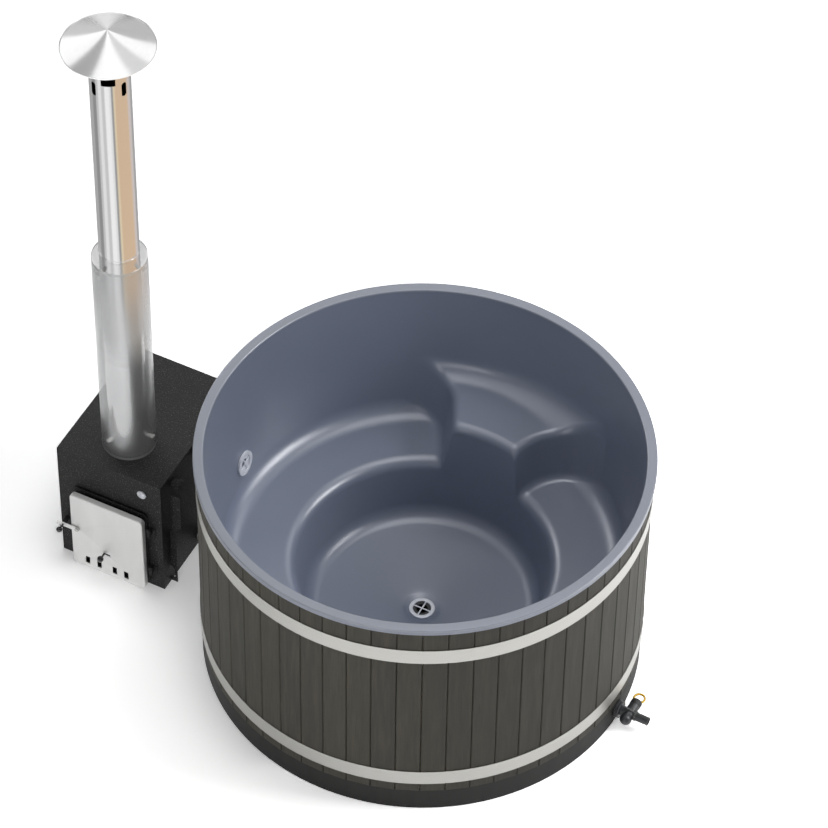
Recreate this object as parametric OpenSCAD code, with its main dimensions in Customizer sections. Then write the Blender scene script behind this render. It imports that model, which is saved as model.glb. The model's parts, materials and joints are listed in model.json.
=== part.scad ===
// Round hot tub clad in upright planks, with a wood-fired heater standing beside it.
// The origin is the middle of the tub at floor level. +Z is up.
// The viewer stands on the -Y side. The heater stands on the -X side.

/* [Tub shell] */
// Outer diameter of the liner's rim
rim_d = 1700; // [1640:10:1800]
// Height of the rim's top face above the floor
tub_h = 1048; // [1000:2:1120]
// Width of the flat rim
rim_w = 38; // [30:1:46]
// Depth of the rim's turned-down lip
lip_h = 22; // [16:1:30]
// Thickness of the moulded liner
liner_t = 6; // [4:0.5:8]
// Distance that the liner's wall leans in from the rim to the bench
wall_lean = 60; // [47:1:77]
// Rounding where the wall meets the bench
bench_back_fillet = 40; // [20:1:60]

/* [Bench, step and footwell] */
// Height of the bench above the floor
bench_z = 440; // [420:2:470]
// Width of the bench from the wall to its inner edge
bench_w = 270; // [242:1:292]
// Rounding of the bench's inner edge
bench_lip_fillet = 24; // [10:1:30]
// Height of the footwell's floor
floor_z = 150; // [148:1:170]
// Distance that the footwell narrows from the bench to its floor
footwell_taper = 42; // [27:1:82]
// Rounding of the footwell's floor edge
floor_fillet = 40; // [20:1:60]
// Rise of the entry step above the bench
step_rise = 210; // [150:2:260]
// Bearing of the entry step's first side
step_from = 44.5; // [40:0.5:50]
// Bearing of the entry step's second side
step_to = 80.5; // [72:0.5:86]
// Distance that the entry step's front stands back from the bench's inner edge
step_back = 4; // [1:1:33]

/* [Planks and hoops] */
// Number of planks
plank_n = 57; // [48:1:64]
// Bearing of the first seam between planks
seam_bearing = 5.15; // [0:0.05:6]
// Distance that the rim stands out past the planks' faces
rim_over = 10; // [8:1:25]
// Thickness of a plank
plank_t = 20; // [14:1:22]
// Open joint between two planks
plank_gap = 1.6; // [0.6:0.1:3]
// Chamfer along a plank's edges
plank_chamfer = 3.6; // [1:0.1:5]
// Height of the planks' lower ends
plank_z = 108; // [90:1:120]
// Width of a hoop
hoop_w = 70; // [40:1:80]
// Thickness of a hoop
hoop_t = 2; // [1.5:0.1:2.6]
// Distance from the planks' tops down to the upper hoop's lower edge
hoop_upper_drop = 184; // [142:1:262]
// Distance from the planks' lower ends up to the lower hoop's lower edge
hoop_lower_up = 45; // [22:1:190]
// Bearing of the hoops' lugs
lug_bearing = 100; // [90:1:120]
// Angle of the gap between a hoop's two lugs
lug_gap = 3; // [2:0.5:4]
// Height that a lug stands out from its hoop
lug_h = 30; // [24:1:40]
// Radius of a hoop bolt
bolt_r = 5; // [4:0.5:6]

/* [Base] */
// Distance that the plinth ring stands back from the planks' faces
plinth_inset = 2; // [1:1:8]
// Thickness of the plinth ring
plinth_t = 10; // [6:1:12]
// Thickness of the bottom board
bottom_board_t = 12; // [9:1:15]
// Width of a joist
joist_w = 45; // [36:1:60]
// Thickness of the floor board
floor_board_t = 24; // [18:1:30]
// Width of a bench post across the tub's radius
post_w = 90; // [60:5:120]
// Depth of a bench post along the tub's radius
post_t = 45; // [36:1:60]
// Number of bench posts
post_n = 8; // [6:1:10]

/* [Water fittings] */
// Height of the drain line and of the heater's lower port
drain_z = 57.6; // [50:0.2:66]
// Rise of the upper hose from the heater to the tub
hose_rise = 30; // [12:1:52]
// Outer radius of the water pipes
pipe_r = 22; // [18:1:24]
// Wall of the water pipes
pipe_wall = 4; // [2:0.5:5]
// Wall of the rubber hoses
hose_wall = 4.7; // [3:0.1:6]
// Length of pipe that a hose grips
hose_grip = 26; // [18:1:32]
// Depth of the dish round the floor drain
dish_depth = 10; // [6:1:12]
// Radius of the dish round the floor drain
dish_r = 77; // [66:1:90]
// Radius of a strainer cover
cover_r = 49.5; // [40:0.5:55]
// Radius of the drain body's tube
drain_tube_r = 26; // [22:1:30]

/* [Drain valve] */
// Bearing of the drain valve
valve_bearing = -28; // [-60:1:-10]
// Radius of the flange on the plinth
flange_r = 35; // [30:1:42]
// Thickness of the flange
flange_t = 7.7; // [5:0.1:10]
// Radius of the lock nut
lock_nut_r = 32; // [26:1:34]
// Thickness of the lock nut
lock_nut_t = 12; // [8:1:16]
// Distance from the plinth to the middle of the valve's barrel
barrel_out = 54; // [50:1:67]
// Radius of the barrel
barrel_r = 21; // [18:0.5:24]
// Radius of the barrel's closed round end
barrel_end_r = 23; // [20:0.5:25]
// Distance from the flow line to the round end's middle
barrel_end_at = 31; // [26:1:36]
// Distance from the flow line to the cap
cap_at = 41; // [36:1:50]
// Length of the cap
cap_len = 24; // [18:1:34]
// Radius of the cap
cap_r = 22; // [21:0.5:26]
// Outer radius of the hose nozzle
nozzle_r = 16.5; // [14:0.5:18]
// Distance from the plinth to the nozzle's mouth
nozzle_out = 134; // [112:1:162]
// Bore radius of the nozzle
nozzle_bore_r = 13; // [10:0.5:13.5]
// Radius of the plug inside the barrel
plug_r = 14.95; // [13.6:0.05:16]
// Radius of the ring handle's middle line
ring_r = 20.5; // [16:0.5:24]
// Radius of the ring handle's bar
ring_bar_r = 4.5; // [3:0.5:5]
// Distance from the cap's end to the ring's middle
ring_out = 17; // [12:1:18]

/* [Heater casing] */
// Width of the heater
heater_w = 451; // [420:1:500]
// Depth of the heater
heater_d = 598; // [560:1:640]
// Height of the heater
heater_h = 588; // [580:1:620]
// Distance from the tub's rim to the heater's near side
heater_stand = 124; // [100:1:150]
// Distance that the heater's front stands ahead of the tub's axis
heater_ahead = 272; // [200:1:300]
// Turn of the heater about the tub's axis
heater_turn = -26.2; // [-40:0.1:-10]
// Thickness of the casing's sheet
sheet_t = 3; // [2:0.5:4]
// Distance from the heater's top down to its upper stub
stub_drop = 40; // [38:1:48]

/* [Fire] */
// Gap between casing and water jacket
jacket_gap = 19; // [12:1:24]
// Height of the jacket's feet
foot_h = 20; // [15:1:30]
// Width of the water space
water_gap = 34; // [24:1:40]
// Thickness of the jacket's plate
plate_t = 3; // [2:0.5:5]
// Lap of the door past the stoking hole's sides
lap_side = 37.5; // [33:0.5:60]
// Lap of the door below the stoking hole
lap_low = 32; // [30:1:52]
// Lap of the door above the stoking hole
lap_high = 46; // [38:1:80]
// Height of the grate's top
grate_z = 105; // [95:1:130]
// Distance from the fire's roof down to the baffle
baffle_drop = 70; // [40:5:100]

/* [Door] */
// Width of the door
door_w = 325; // [290:1:340]
// Height of the door
door_h = 408; // [390:1:430]
// Height of the door's lower edge
door_z = 8; // [4:1:20]
// Distance that the door's middle stands nearer the tub than the heater's
door_off = 5.5; // [-2:0.5:13]
// Distance that the door stands out
door_out = 45; // [38:1:55]
// Gap between door and casing
door_gap = 2; // [1:0.5:4]
// Thickness of the door's sheet
door_sheet = 2; // [1.5:0.1:3]
// Rounding of the door's corners
door_corner = 18; // [8:1:30]
// Width of an air hole
air_w = 19; // [12:1:22]
// Height of an air hole
air_h = 38; // [24:1:44]
// Height of the air holes' middle
air_z = 52; // [44:1:60]
// Spacing of the two air holes of a pair
air_pair = 51; // [46:1:56]
// Spacing between the two pairs' inner holes
air_middle = 68; // [60:1:80]
// Travel of the air damper
damper_travel = 22; // [20:1:26]
// Height of the damper's stem
damper_z = 130; // [110:1:150]
// Distance from the door's middle to the damper's stem
damper_side = 17; // [5:1:30]
// Distance that the damper's knob stands out from the door
damper_knob_out = 31; // [24:1:40]
// Radius of the damper's knob
damper_knob_r = 13; // [10:0.5:16]
// Radius of a hinge pin
pin_r = 4; // [3:0.5:5]
// Radial clearance of a running pin
pin_clear = 0.05; // [0.02:0.01:0.1]
// Length of one hinge knuckle
knuckle_len = 20; // [14:1:30]
// Heights of the two hinges
hinge_low_z = 90; // [60:5:140]
hinge_high_z = 310; // [260:5:350]

/* [Latch] */
// Height of the latch bar's middle
latch_z = 218; // [180:1:260]
// Distance from the door's middle to the latch's pivot
latch_side = 130; // [115:1:140]
// Distance from the pivot to the bar's free end
latch_len = 90; // [80:1:96]
// Height of the latch bar
latch_h = 20; // [14:1:26]
// Thickness of the latch bar
latch_t = 3; // [2:0.5:5]
// Radius of the latch's pivot
latch_pin_r = 5; // [4:0.5:6]
// Radius of the latch's knob
latch_knob_r = 12.5; // [10:0.5:16]
// Distance from the pivot to the knob
latch_knob_at = 61; // [50:1:75]

/* [Chimney] */
// Distance from the heater's front to the flue's axis
flue_at = 164; // [150:1:200]
// Outer radius of the flue pipe
flue_r = 75; // [65:1:78]
// Wall of the flue pipe
flue_wall = 1.2; // [0.8:0.1:2]
// Outer radius of the heat guard
guard_r = 104.2; // [95:0.2:120]
// Wall of the heat guard
guard_wall = 1.5; // [1:0.1:2]
// Height of the heat guard
guard_h = 1012; // [800:4:1040]
// Distance from the guard's top up to the joint between the two flue pipes
joint_over = 34; // [30:2:100]
// Height of the rain cap's rim
cap_rim_z = 2633; // [2500:1:2700]
// Rise of the rain cap
cap_rise = 79; // [60:1:100]
// Radius of the rain cap
cap_rim_r = 171.5; // [150:0.5:200]
// Sheet thickness of the rain cap
cap_sheet = 1.5; // [1:0.1:2]
// Height of a smoke window
window_h = 143.8; // [103:0.1:173]
// Width of a smoke window
window_w = 51; // [40:1:60]
// Width of a clamping slot
slot_w = 21; // [10:1:24]
// Height of a clamping slot
slot_h = 63; // [40:1:80]

/* [Hidden] */
$fn = 96;
seat = 0.3;           // gap between pieces that only rest against each other
eps = 0.5;            // overshoot of a cutting tool past the face that it cuts
fine = 0.05;          // radial gap of a sleeve on its pipe

// Tub shell
rim_r = rim_d / 2;
rim_in_r = rim_r - rim_w;
wall_foot_r = rim_in_r - wall_lean;
bench_in_r = wall_foot_r - bench_w;
floor_r = bench_in_r - footwell_taper;
step_in_r = bench_in_r + step_back;
rim_edge_fillet = 6;
rim_nose_fillet = 4;
wall_slope = (rim_in_r - wall_foot_r) / (tub_h - bench_z);
wall_draft = atan(wall_slope);
function wall_r(z) = wall_foot_r + wall_slope * (z - bench_z);
step_z = bench_z + step_rise;
step_top_fillet = 20;
step_foot_z = bench_z - 22;
function footwell_r(z) = floor_r + (bench_in_r - floor_r) * (z - floor_z) / (bench_z - floor_z);
step_side_angle = 0.6;
dish_z = floor_z - dish_depth;
dish_seat_r = cover_r + 2.5;
dish_under = dish_z - liner_t;

// A rounded corner at p between a and b, as points of an arc of radius r
function unit(v) = v / norm(v);
function turn(d) = d > 180 ? d - 360 : d < -180 ? d + 360 : d;
function rounded(a, p, b, r, n = 6) =
  let (u = unit(a - p), v = unit(b - p), half = acos(u * v) / 2,
       c = p + unit(u + v) * r / sin(half),
       s = p + u * r / tan(half) - c, e = p + v * r / tan(half) - c,
       from = atan2(s[1], s[0]), sweep = turn(atan2(e[1], e[0]) - from))
  [for (i = [0:n]) c + r * [cos(from + sweep * i / n), sin(from + sweep * i / n)]];

// Corners of the liner's wet face, from the drain to the rim
drain_hole = [drain_tube_r + 0.3, dish_z];
floor_edge = [floor_r, floor_z];
bench_edge = [bench_in_r, bench_z];
wall_foot = [wall_foot_r, bench_z];
rim_edge = [rim_in_r, tub_h];
rim_nose = [rim_r, tub_h];
wet_low = concat(
  [drain_hole, [dish_seat_r, dish_z], [dish_r, floor_z]],
  rounded([dish_r, floor_z], floor_edge, bench_edge, floor_fillet),
  rounded(floor_edge, bench_edge, wall_foot, bench_lip_fillet),
  rounded(bench_edge, wall_foot, rim_edge, bench_back_fillet));
wet_face = concat(wet_low, rounded(wall_foot, rim_edge, rim_nose, rim_edge_fillet, 3));
dry_face = concat(wet_low, [rim_edge]);
lip_end = [rim_r, tub_h - lip_h];
lip = concat(rounded(rim_edge, rim_nose, lip_end, rim_nose_fillet, 3),
  [lip_end, lip_end - [liner_t, 0], [rim_r - liner_t, tub_h - liner_t]]);
function back_of(points) = [for (i = [len(points) - 1:-1:0]) points[i] + [liner_t, -liner_t]];

// Planks, hoops and base
plank_top = tub_h - liner_t;
plank_face_r = rim_r - rim_over;
plank_pitch = 360 / plank_n;
plank_in_r = plank_face_r - plank_t;
function half_width(r) = r * tan(plank_pitch / 2) - plank_gap / 2;
plank_corner_r = norm([plank_face_r, half_width(plank_face_r) - plank_chamfer]);
hoop_in_r = plank_corner_r + seat;
hoop_upper_z = plank_top - hoop_upper_drop;
hoop_lower_z = plank_z + hoop_lower_up;
lug_t = 3;
lug_bite = 0.1;
lug_step = 1.5;
lug_bolt_r = hoop_in_r + lug_h * 0.6;
lug_half_span = lug_bolt_r * sin(lug_gap / 2) + lug_t;
bolt_head_r = bolt_r * 1.7;
bolt_head_t = bolt_r * 1.3;
bolt_inset = hoop_w / 4;
bolt_hole_r = bolt_r + 0.2;
core_r = plank_in_r - seat;
plinth_r = plank_face_r - plinth_inset;
plinth_in_r = plinth_r - plinth_t;
floor_board_z = floor_z - liner_t - floor_board_t;
board_hole_r = dish_r + liner_t + 8;
joist_rows = [for (part = [0.18, 0.52, 0.845]) part * plinth_in_r];
post_r = (bench_in_r + wall_foot_r) / 2;
insulation_z = [bench_z + 40, tub_h - 90];

// Water line
pipe_in_r = pipe_r - pipe_wall;
hose_in_r = pipe_r + seat;
hose_r = hose_in_r + hose_wall;
heater_at = rim_r + heater_stand;
heater_gap = heater_at - plinth_r;
stub_z = heater_h - stub_drop;
return_z = stub_z + hose_rise;
return_tail_end = plank_face_r + 18;
plank_hole_r = hose_r + 2;
return_flange_r = cover_r - 5.5;
return_flange_t = 4;
return_nut_r = pipe_r + 12;
return_nut_t = 14;
cover_t = 5;
cover_skirt_t = 3.2;
cover_open_r = cover_r * 0.69;
cover_hub_r = cover_r * 0.12;
spoke_w = 5;
cover_stand = 1.9;
manifold_r = drain_tube_r + 9;
manifold_floor_z = bottom_board_t + 10;
manifold_boss = 50;
drain_flange_t = 3;
drain_tube_len = 30;
feed_pipe_end = plinth_r + 30;
clamp_w = 10;
clamp_t = 1;
// Upper hose: two equal bends that climb from the stub to the return
hose_run = heater_at - return_tail_end - hose_grip;
hose_bend = 2 * atan(hose_rise / hose_run);
hose_bend_r = hose_run / (2 * sin(hose_bend));

// Drain valve
flange_face = plinth_r + seat + flange_t;
barrel_at = plinth_r + barrel_out;
nozzle_end = plinth_r + nozzle_out;
nut_face = flange_face + lock_nut_t;
neck_r = pipe_r - 2;
barrel_bore_r = plug_r + pin_clear;
plug_len = cap_at + barrel_end_at - 6;
cap_gap = 0.3;
cap_end = cap_at + cap_gap + cap_len;
plug_hole_r = nozzle_bore_r - 1;
tether_w = 4;
tether_t = 1.5;
tether_ring_at = barrel_at + barrel_r + 5;
nozzle_root = tether_ring_at + 4;
collar_r = nozzle_r + 1;
tether_from = [nut_face - 0.5, lock_nut_r + 0.2];
tether_ring_t = 1.8;
tether_ring_w = 4;
tether_to = [tether_ring_at, collar_r + 0.5];

// Heater
jacket_x = [-(heater_w - jacket_gap - sheet_t), -(jacket_gap + sheet_t)];
jacket_y = [sheet_t + 27, heater_d - jacket_gap - sheet_t];
jacket_z = [foot_h, heater_h - 13];
wrap = water_gap + 2 * plate_t;
door_mid = heater_w / 2 - door_off;
mouth_w = door_w - 2 * lap_side;
mouth_h = door_h - lap_low - lap_high;
mouth_z = door_z + lap_low;
mouth_x = [-door_mid - mouth_w / 2, -door_mid + mouth_w / 2];
fire_x = [jacket_x[0] + wrap, jacket_x[1] - wrap];
fire_y = [jacket_y[0] + wrap, jacket_y[1] - wrap];
fire_z = [mouth_z - 2, jacket_z[1] - wrap - 35];
flue_x = -heater_w / 2;
flue_hole_r = flue_r + 2;
spigot_r = flue_r - flue_wall - 0.3;
spigot_wall = 2.5;
spigot_flange_t = 4;
spigot_up = 52;
baffle_z = fire_z[1] - baffle_drop;
baffle_gap = 0.365 * (fire_y[1] - fire_y[0]);
plug_x = -82;
plug_z = heater_h - 74;
plug_head_r = 18.7;
plug_head_t = 8;
plug_shank_r = 15;
stub_hole_r = pipe_r + 2;
bracket_y = 55;
bracket_w = 52;
bracket_top = heater_h - 83;
bracket_step = 30;
bracket_neck = bracket_top - 205;
port_y = 95;
port_z = heater_h - 58;
port_r = 23;
port_len = 38;

// Door, in the heater's own frame: x to the right, y to the back
door_x = [-door_mid - door_w / 2, -door_mid + door_w / 2];
door_face = -door_out;
door_back = -door_gap;
lining_t = 3;
lining_y = -9;
lining_inset = 6;
gasket_w = 9;
gasket_margin = 3;
damper_t = 2;
damper_y = door_face + door_sheet + seat;
damper_h = air_h + 16;
damper_up = damper_z - air_z + 14;
guide_t = 2;
guide_h = 8;
damper_at = door_mid + damper_side;
stem_r = 4;
slot_half_h = stem_r + 0.6;
hinge_out = 22;
hinge_x = door_x[1] + 12;
knuckle_r = pin_r + 2.6;
pin_bore_r = pin_r + pin_clear;
hinge_z = [hinge_low_z, hinge_high_z];
air_x = [-air_middle / 2 - air_pair, -air_middle / 2, air_middle / 2, air_middle / 2 + air_pair];
air_shift = -door_mid - 8;

// Latch
latch_pivot_at = door_mid + latch_side;
latch_y = door_face - 8;
latch_bore_r = latch_pin_r + pin_clear;
latch_head_t = 4;
latch_stem_r = 4;
latch_knob_out = 30;
keeper_w = 20;
keeper_x = -latch_pivot_at - latch_knob_at - 17;
keeper_t = 3;

// Chimney
joint_z = heater_h + guard_h + joint_over;
spacer_t = 2;
spacer_angle = 12;
guard_z = heater_h;
cap_under_r = cap_rim_r;
function cap_z(r) = cap_rim_z + cap_rise * (1 - r / cap_rim_r);
pipe_top = cap_z(flue_r) - cap_sheet - 0.2;
window_z = pipe_top - window_h - 22;
slot_z = window_z - slot_h + 2;

module tube(r, bore, h) {
  difference() {
    cylinder(r = r, h = h);
    translate([0, 0, -eps]) cylinder(r = bore, h = h + 2 * eps);
  }
}

// A box from its lowest to its highest corner
module block(lo, hi) {
  translate(lo) cube(hi - lo);
}

// A flat rectangle with round corners, centred on the origin
module rounded_rect(w, h, r) {
  square([w - 2 * r, h], center = true);
  square([w, h - 2 * r], center = true);
  for (x = [-1, 1]) {
    for (y = [-1, 1]) {
      translate([x * (w / 2 - r), y * (h / 2 - r)]) circle(r = r);
    }
  }
}

// Turns a piece drawn along +Z so that it points outwards at a bearing and height
module outward(bearing, z) {
  rotate([0, 0, bearing]) translate([0, 0, z]) rotate([0, 90, 0]) children();
}

module toward_heater(z) {
  outward(180 + heater_turn, z) children();
}

// The heater's own frame: x = 0 is its near side, y = 0 its front, z = 0 the floor
module at_heater() {
  rotate([0, 0, heater_turn]) translate([-heater_at, -heater_ahead, 0]) children();
}

// Stands a flat shape drawn in x and z upright, with its front face at y
module upright(y, t) {
  translate([0, y + t, 0]) rotate([90, 0, 0]) linear_extrude(t) children();
}

// The valve's frame: x outwards along the flow, y along the barrel, z up
module at_valve() {
  rotate([0, 0, valve_bearing]) translate([0, 0, drain_z]) children();
}

module along_x(from, to, r) {
  translate([from, 0, 0]) rotate([0, 90, 0]) cylinder(r = r, h = to - from);
}

module along_y(from, to, r) {
  translate([0, from, 0]) rotate([-90, 0, 0]) cylinder(r = r, h = to - from);
}

// ---- Tub ----

// The moulded entry step as a solid that reaches half way into the liner's own thickness
module step_block() {
  foot = [footwell_r(step_foot_z) + seat, step_foot_z];
  front = rounded(foot, [step_in_r, step_z], [wall_r(step_z), step_z], step_top_fillet);
  back = rounded(rim_edge, wall_foot, bench_edge, bench_back_fillet);
  under = rounded(wall_foot, bench_edge, floor_edge, bench_lip_fillet);
  rotate([0, 0, step_from]) rotate_extrude(angle = step_to - step_from)
    polygon(concat([foot], front, [[wall_r(step_z) + liner_t / 2, step_z]],
      [for (p = concat(back, under)) p + [liner_t, -liner_t] / 2]));
}

// The hollow under the step, open downwards
module step_hollow() {
  inner = step_in_r + liner_t;
  ledge = wall_foot_r - bench_back_fillet - 5;
  ledge_z = bench_z + bench_back_fillet + 5;
  rotate([0, 0, step_from + step_side_angle]) rotate_extrude(angle = step_to - step_from - 2 * step_side_angle)
    polygon([[inner, bench_z - 30], [inner, step_z - liner_t], [wall_r(step_z) + 1, step_z - liner_t],
      [wall_r(ledge_z) + 1, ledge_z], [ledge, ledge_z], [ledge, bench_z - 30]]);
}

module liner() {
  color("#6f7684") difference() {
    union() {
      rotate_extrude() polygon(concat(wet_face, lip, back_of(dry_face)));
      step_block();
    }
    step_hollow();
    toward_heater(return_z)
      translate([0, 0, wall_foot_r - 60]) cylinder(r = pipe_r + seat, h = 140);
  }
}

module plank() {
  outer = half_width(plank_face_r);
  shoulder = half_width(plank_face_r - plank_chamfer);
  inner = half_width(plank_in_r);
  linear_extrude(plank_top - plank_z)
    polygon([[plank_in_r, -inner], [plank_face_r - plank_chamfer, -shoulder],
      [plank_face_r, plank_chamfer - outer], [plank_face_r, outer - plank_chamfer],
      [plank_face_r - plank_chamfer, shoulder], [plank_in_r, inner]]);
}

module staves() {
  color("#55534b") difference() {
    for (i = [0:plank_n - 1]) {
      rotate([0, 0, seam_bearing + (i + 0.5) * plank_pitch]) translate([0, 0, plank_z]) plank();
    }
    toward_heater(return_z)
      translate([0, 0, plank_in_r - 30]) cylinder(r = plank_hole_r, h = plank_t + 60);
  }
}

module hoop(z) {
  difference() {
    union() {
      rotate([0, 0, lug_bearing + lug_gap / 2 + lug_bite]) rotate_extrude(angle = 360 - lug_gap - 2 * lug_bite)
        translate([hoop_in_r, z]) square([hoop_t, hoop_w]);
      for (side = [-1, 1]) {
        rotate([0, 0, lug_bearing + side * lug_gap / 2])
          translate([hoop_in_r + hoop_t / 2, side > 0 ? 0 : -lug_t, z + lug_step])
            cube([lug_h - hoop_t / 2, lug_t, hoop_w - 2 * lug_step]);
      }
    }
    hoop_bolt_rows(z) along_y(-lug_half_span - 20, lug_half_span + 20, bolt_hole_r);
  }
}

// The two bolt lines of one hoop
module hoop_bolt_rows(z) {
  for (h = [bolt_inset, hoop_w - bolt_inset]) {
    rotate([0, 0, lug_bearing]) translate([lug_bolt_r, 0, z + h]) children();
  }
}

module hoop_upper() {
  color("#c9c8c2") hoop(hoop_upper_z);
}

module hoop_lower() {
  color("#c9c8c2") hoop(hoop_lower_z);
}

module hoop_bolts() {
  reach = lug_half_span + bolt_head_r * sin(lug_gap / 2) + fine;
  color("silver") for (z = [hoop_upper_z, hoop_lower_z]) {
    hoop_bolt_rows(z) {
      along_y(-reach - bolt_head_t - 8, reach + eps, bolt_r);
      along_y(reach, reach + bolt_head_t, bolt_head_r, $fn = 6);
      along_y(-reach - bolt_head_t, -reach, bolt_head_r, $fn = 6);
    }
  }
}

module plinth_ring() {
  color("#3d3c3b") difference() {
    tube(plinth_r, plinth_in_r, plank_z);
    for (b = [valve_bearing, 180 + heater_turn]) {
      outward(b, drain_z) translate([0, 0, plinth_in_r - 20]) cylinder(r = pipe_r + seat, h = plinth_t + 40);
    }
  }
}

module floor_board() {
  color("#b99a6b") translate([0, 0, floor_board_z]) tube(core_r, board_hole_r, floor_board_t);
}

module base_joists() {
  color("#b48f5c") intersection() {
    translate([0, 0, bottom_board_t]) cylinder(r = core_r, h = floor_board_z - bottom_board_t);
    rotate([0, 0, heater_turn]) {
      for (row = joist_rows) {
        for (side = [-1, 1]) {
          translate([-core_r, side * row - joist_w / 2, bottom_board_t])
            cube([2 * core_r, joist_w, floor_board_z - bottom_board_t]);
        }
      }
    }
  }
}

module bottom_board() {
  color("#8d744e") cylinder(r = plinth_in_r - seat, h = bottom_board_t);
}

module bench_posts() {
  foot = floor_board_z + floor_board_t;
  color("#b48f5c") for (i = [0:post_n - 1]) {
    bearing = (i + 0.5) * 360 / post_n;
    under_step = bearing > step_from && bearing < step_to;
    top = (under_step ? step_z : bench_z) - liner_t;
    rotate([0, 0, bearing]) translate([post_r - post_t / 2, -post_w / 2, foot])
      cube([post_t, post_w, top - foot]);
  }
}

module wall_insulation() {
  back = liner_t * (1 + wall_slope) + seat;
  color("#e3dcc4") difference() {
    rotate_extrude() polygon([
      [wall_r(insulation_z[0]) + back, insulation_z[0]], [plank_in_r - seat, insulation_z[0]],
      [plank_in_r - seat, insulation_z[1]], [wall_r(insulation_z[1]) + back, insulation_z[1]]]);
    toward_heater(return_z)
      translate([0, 0, wall_foot_r - 20]) cylinder(r = return_nut_r + 4, h = 140);
  }
}

// ---- Drain and return ----

// A round strainer cover: ring, four spokes and a hub, with its back face at z = 0
module strainer_cover(skirt) {
  difference() {
    cylinder(r = cover_r, h = cover_t);
    translate([0, 0, -eps]) cylinder(r = cover_open_r, h = cover_t + 2 * eps);
  }
  for (a = [0, 90]) {
    rotate([0, 0, a + 20]) translate([-cover_open_r - 1, -spoke_w / 2, 0])
      cube([2 * cover_open_r + 2, spoke_w, cover_t - 1]);
  }
  cylinder(r = cover_hub_r, h = cover_t - 0.5);
  translate([0, 0, -skirt]) tube(cover_r, cover_r - cover_skirt_t, skirt + 1);
}

module drain_body() {
  color("gainsboro") {
    translate([0, 0, dish_z]) tube(cover_r - cover_skirt_t - seat, drain_tube_r - pipe_wall, drain_flange_t);
    translate([0, 0, dish_z - drain_tube_len])
      tube(drain_tube_r, drain_tube_r - pipe_wall, drain_tube_len + 1);
  }
}

module drain_cover() {
  color("gainsboro") translate([0, 0, dish_z + drain_flange_t]) strainer_cover(drain_flange_t);
}

module drain_manifold() {
  color("#2b2b2c") difference() {
    union() {
      translate([0, 0, manifold_floor_z]) cylinder(r = manifold_r, h = dish_under - manifold_floor_z);
      for (b = [valve_bearing, 180 + heater_turn]) {
        outward(b, drain_z) cylinder(r = pipe_r + 4, h = manifold_boss);
      }
    }
    translate([0, 0, manifold_floor_z + 6])
      cylinder(r = drain_tube_r + fine, h = dish_under - manifold_floor_z);
    for (b = [valve_bearing, 180 + heater_turn]) {
      outward(b, drain_z) cylinder(r = pipe_in_r, h = manifold_boss + eps);
    }
  }
}

module drain_pipe() {
  color("#2b2b2c") outward(valve_bearing, drain_z)
    translate([0, 0, manifold_boss]) tube(pipe_r, pipe_in_r, nut_face - manifold_boss);
}

module feed_pipe() {
  color("#2b2b2c") toward_heater(drain_z)
    translate([0, 0, manifold_boss]) tube(pipe_r, pipe_in_r, feed_pipe_end - manifold_boss);
}

module wall_flange() {
  color("#242628") outward(valve_bearing, drain_z)
    translate([0, 0, plinth_r + seat]) tube(flange_r, pipe_r + fine, flange_t);
}

module lock_nut() {
  color("#242628") outward(valve_bearing, drain_z) translate([0, 0, flange_face]) difference() {
    union() {
      cylinder(r = lock_nut_r, h = lock_nut_t, $fn = 12);
      cylinder(r = lock_nut_r * 0.98, h = lock_nut_t / 3);
    }
    translate([0, 0, -eps]) cylinder(r = pipe_r + fine, h = lock_nut_t + 2 * eps);
  }
}

module valve_body() {
  color("#2d3032") at_valve() difference() {
    union() {
      along_x(nut_face, barrel_at, neck_r);
      along_x(barrel_at, nozzle_root, collar_r);
      along_x(nozzle_root - eps, nozzle_end, nozzle_r);
      translate([barrel_at, 0, 0]) along_y(-barrel_end_at, cap_at, barrel_r);
      translate([barrel_at, -barrel_end_at, 0]) sphere(r = barrel_end_r);
    }
    along_x(nut_face - eps, nozzle_end + eps, nozzle_bore_r);
    translate([barrel_at, 0, 0]) along_y(cap_at - plug_len, cap_at + eps, barrel_bore_r);
  }
}

module valve_plug() {
  color("#c8c9c4") at_valve() difference() {
    translate([barrel_at, 0, 0]) along_y(cap_at - plug_len + seat, cap_at + cap_gap, plug_r);
    translate([barrel_at, 0, -barrel_r]) cylinder(r = plug_hole_r, h = 2 * barrel_r);
  }
}

module valve_cap() {
  color("#303436") at_valve() translate([barrel_at, 0, 0]) {
    along_y(cap_at + cap_gap, cap_end - 3, cap_r);
    along_y(cap_end - 4, cap_end, cap_r - 2.5);
  }
}

module ring_handle() {
  color("#f2a51e") at_valve() translate([barrel_at, cap_end, 0]) intersection() {
    translate([0, ring_out, 0]) rotate_extrude() translate([ring_r, 0]) circle(r = ring_bar_r);
    translate([-50, 0, -50]) cube(100);
  }
}

module valve_tether() {
  run = tether_to - tether_from;
  color("#9a9b9b") at_valve() {
    translate([tether_ring_at - 2.5, 0, 0]) rotate([0, 90, 0])
      tube(collar_r + tether_ring_t, collar_r + fine, 5);
    translate([nut_face - tether_ring_w, 0, 0]) rotate([0, 90, 0])
      tube(lock_nut_r + tether_ring_t, lock_nut_r + fine, tether_ring_w);
    translate([tether_from[0], -tether_w / 2, tether_from[1]])
      rotate([0, atan2(-run[1], run[0]), 0]) cube([norm(run), tether_w, tether_t]);
  }
}

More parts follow.
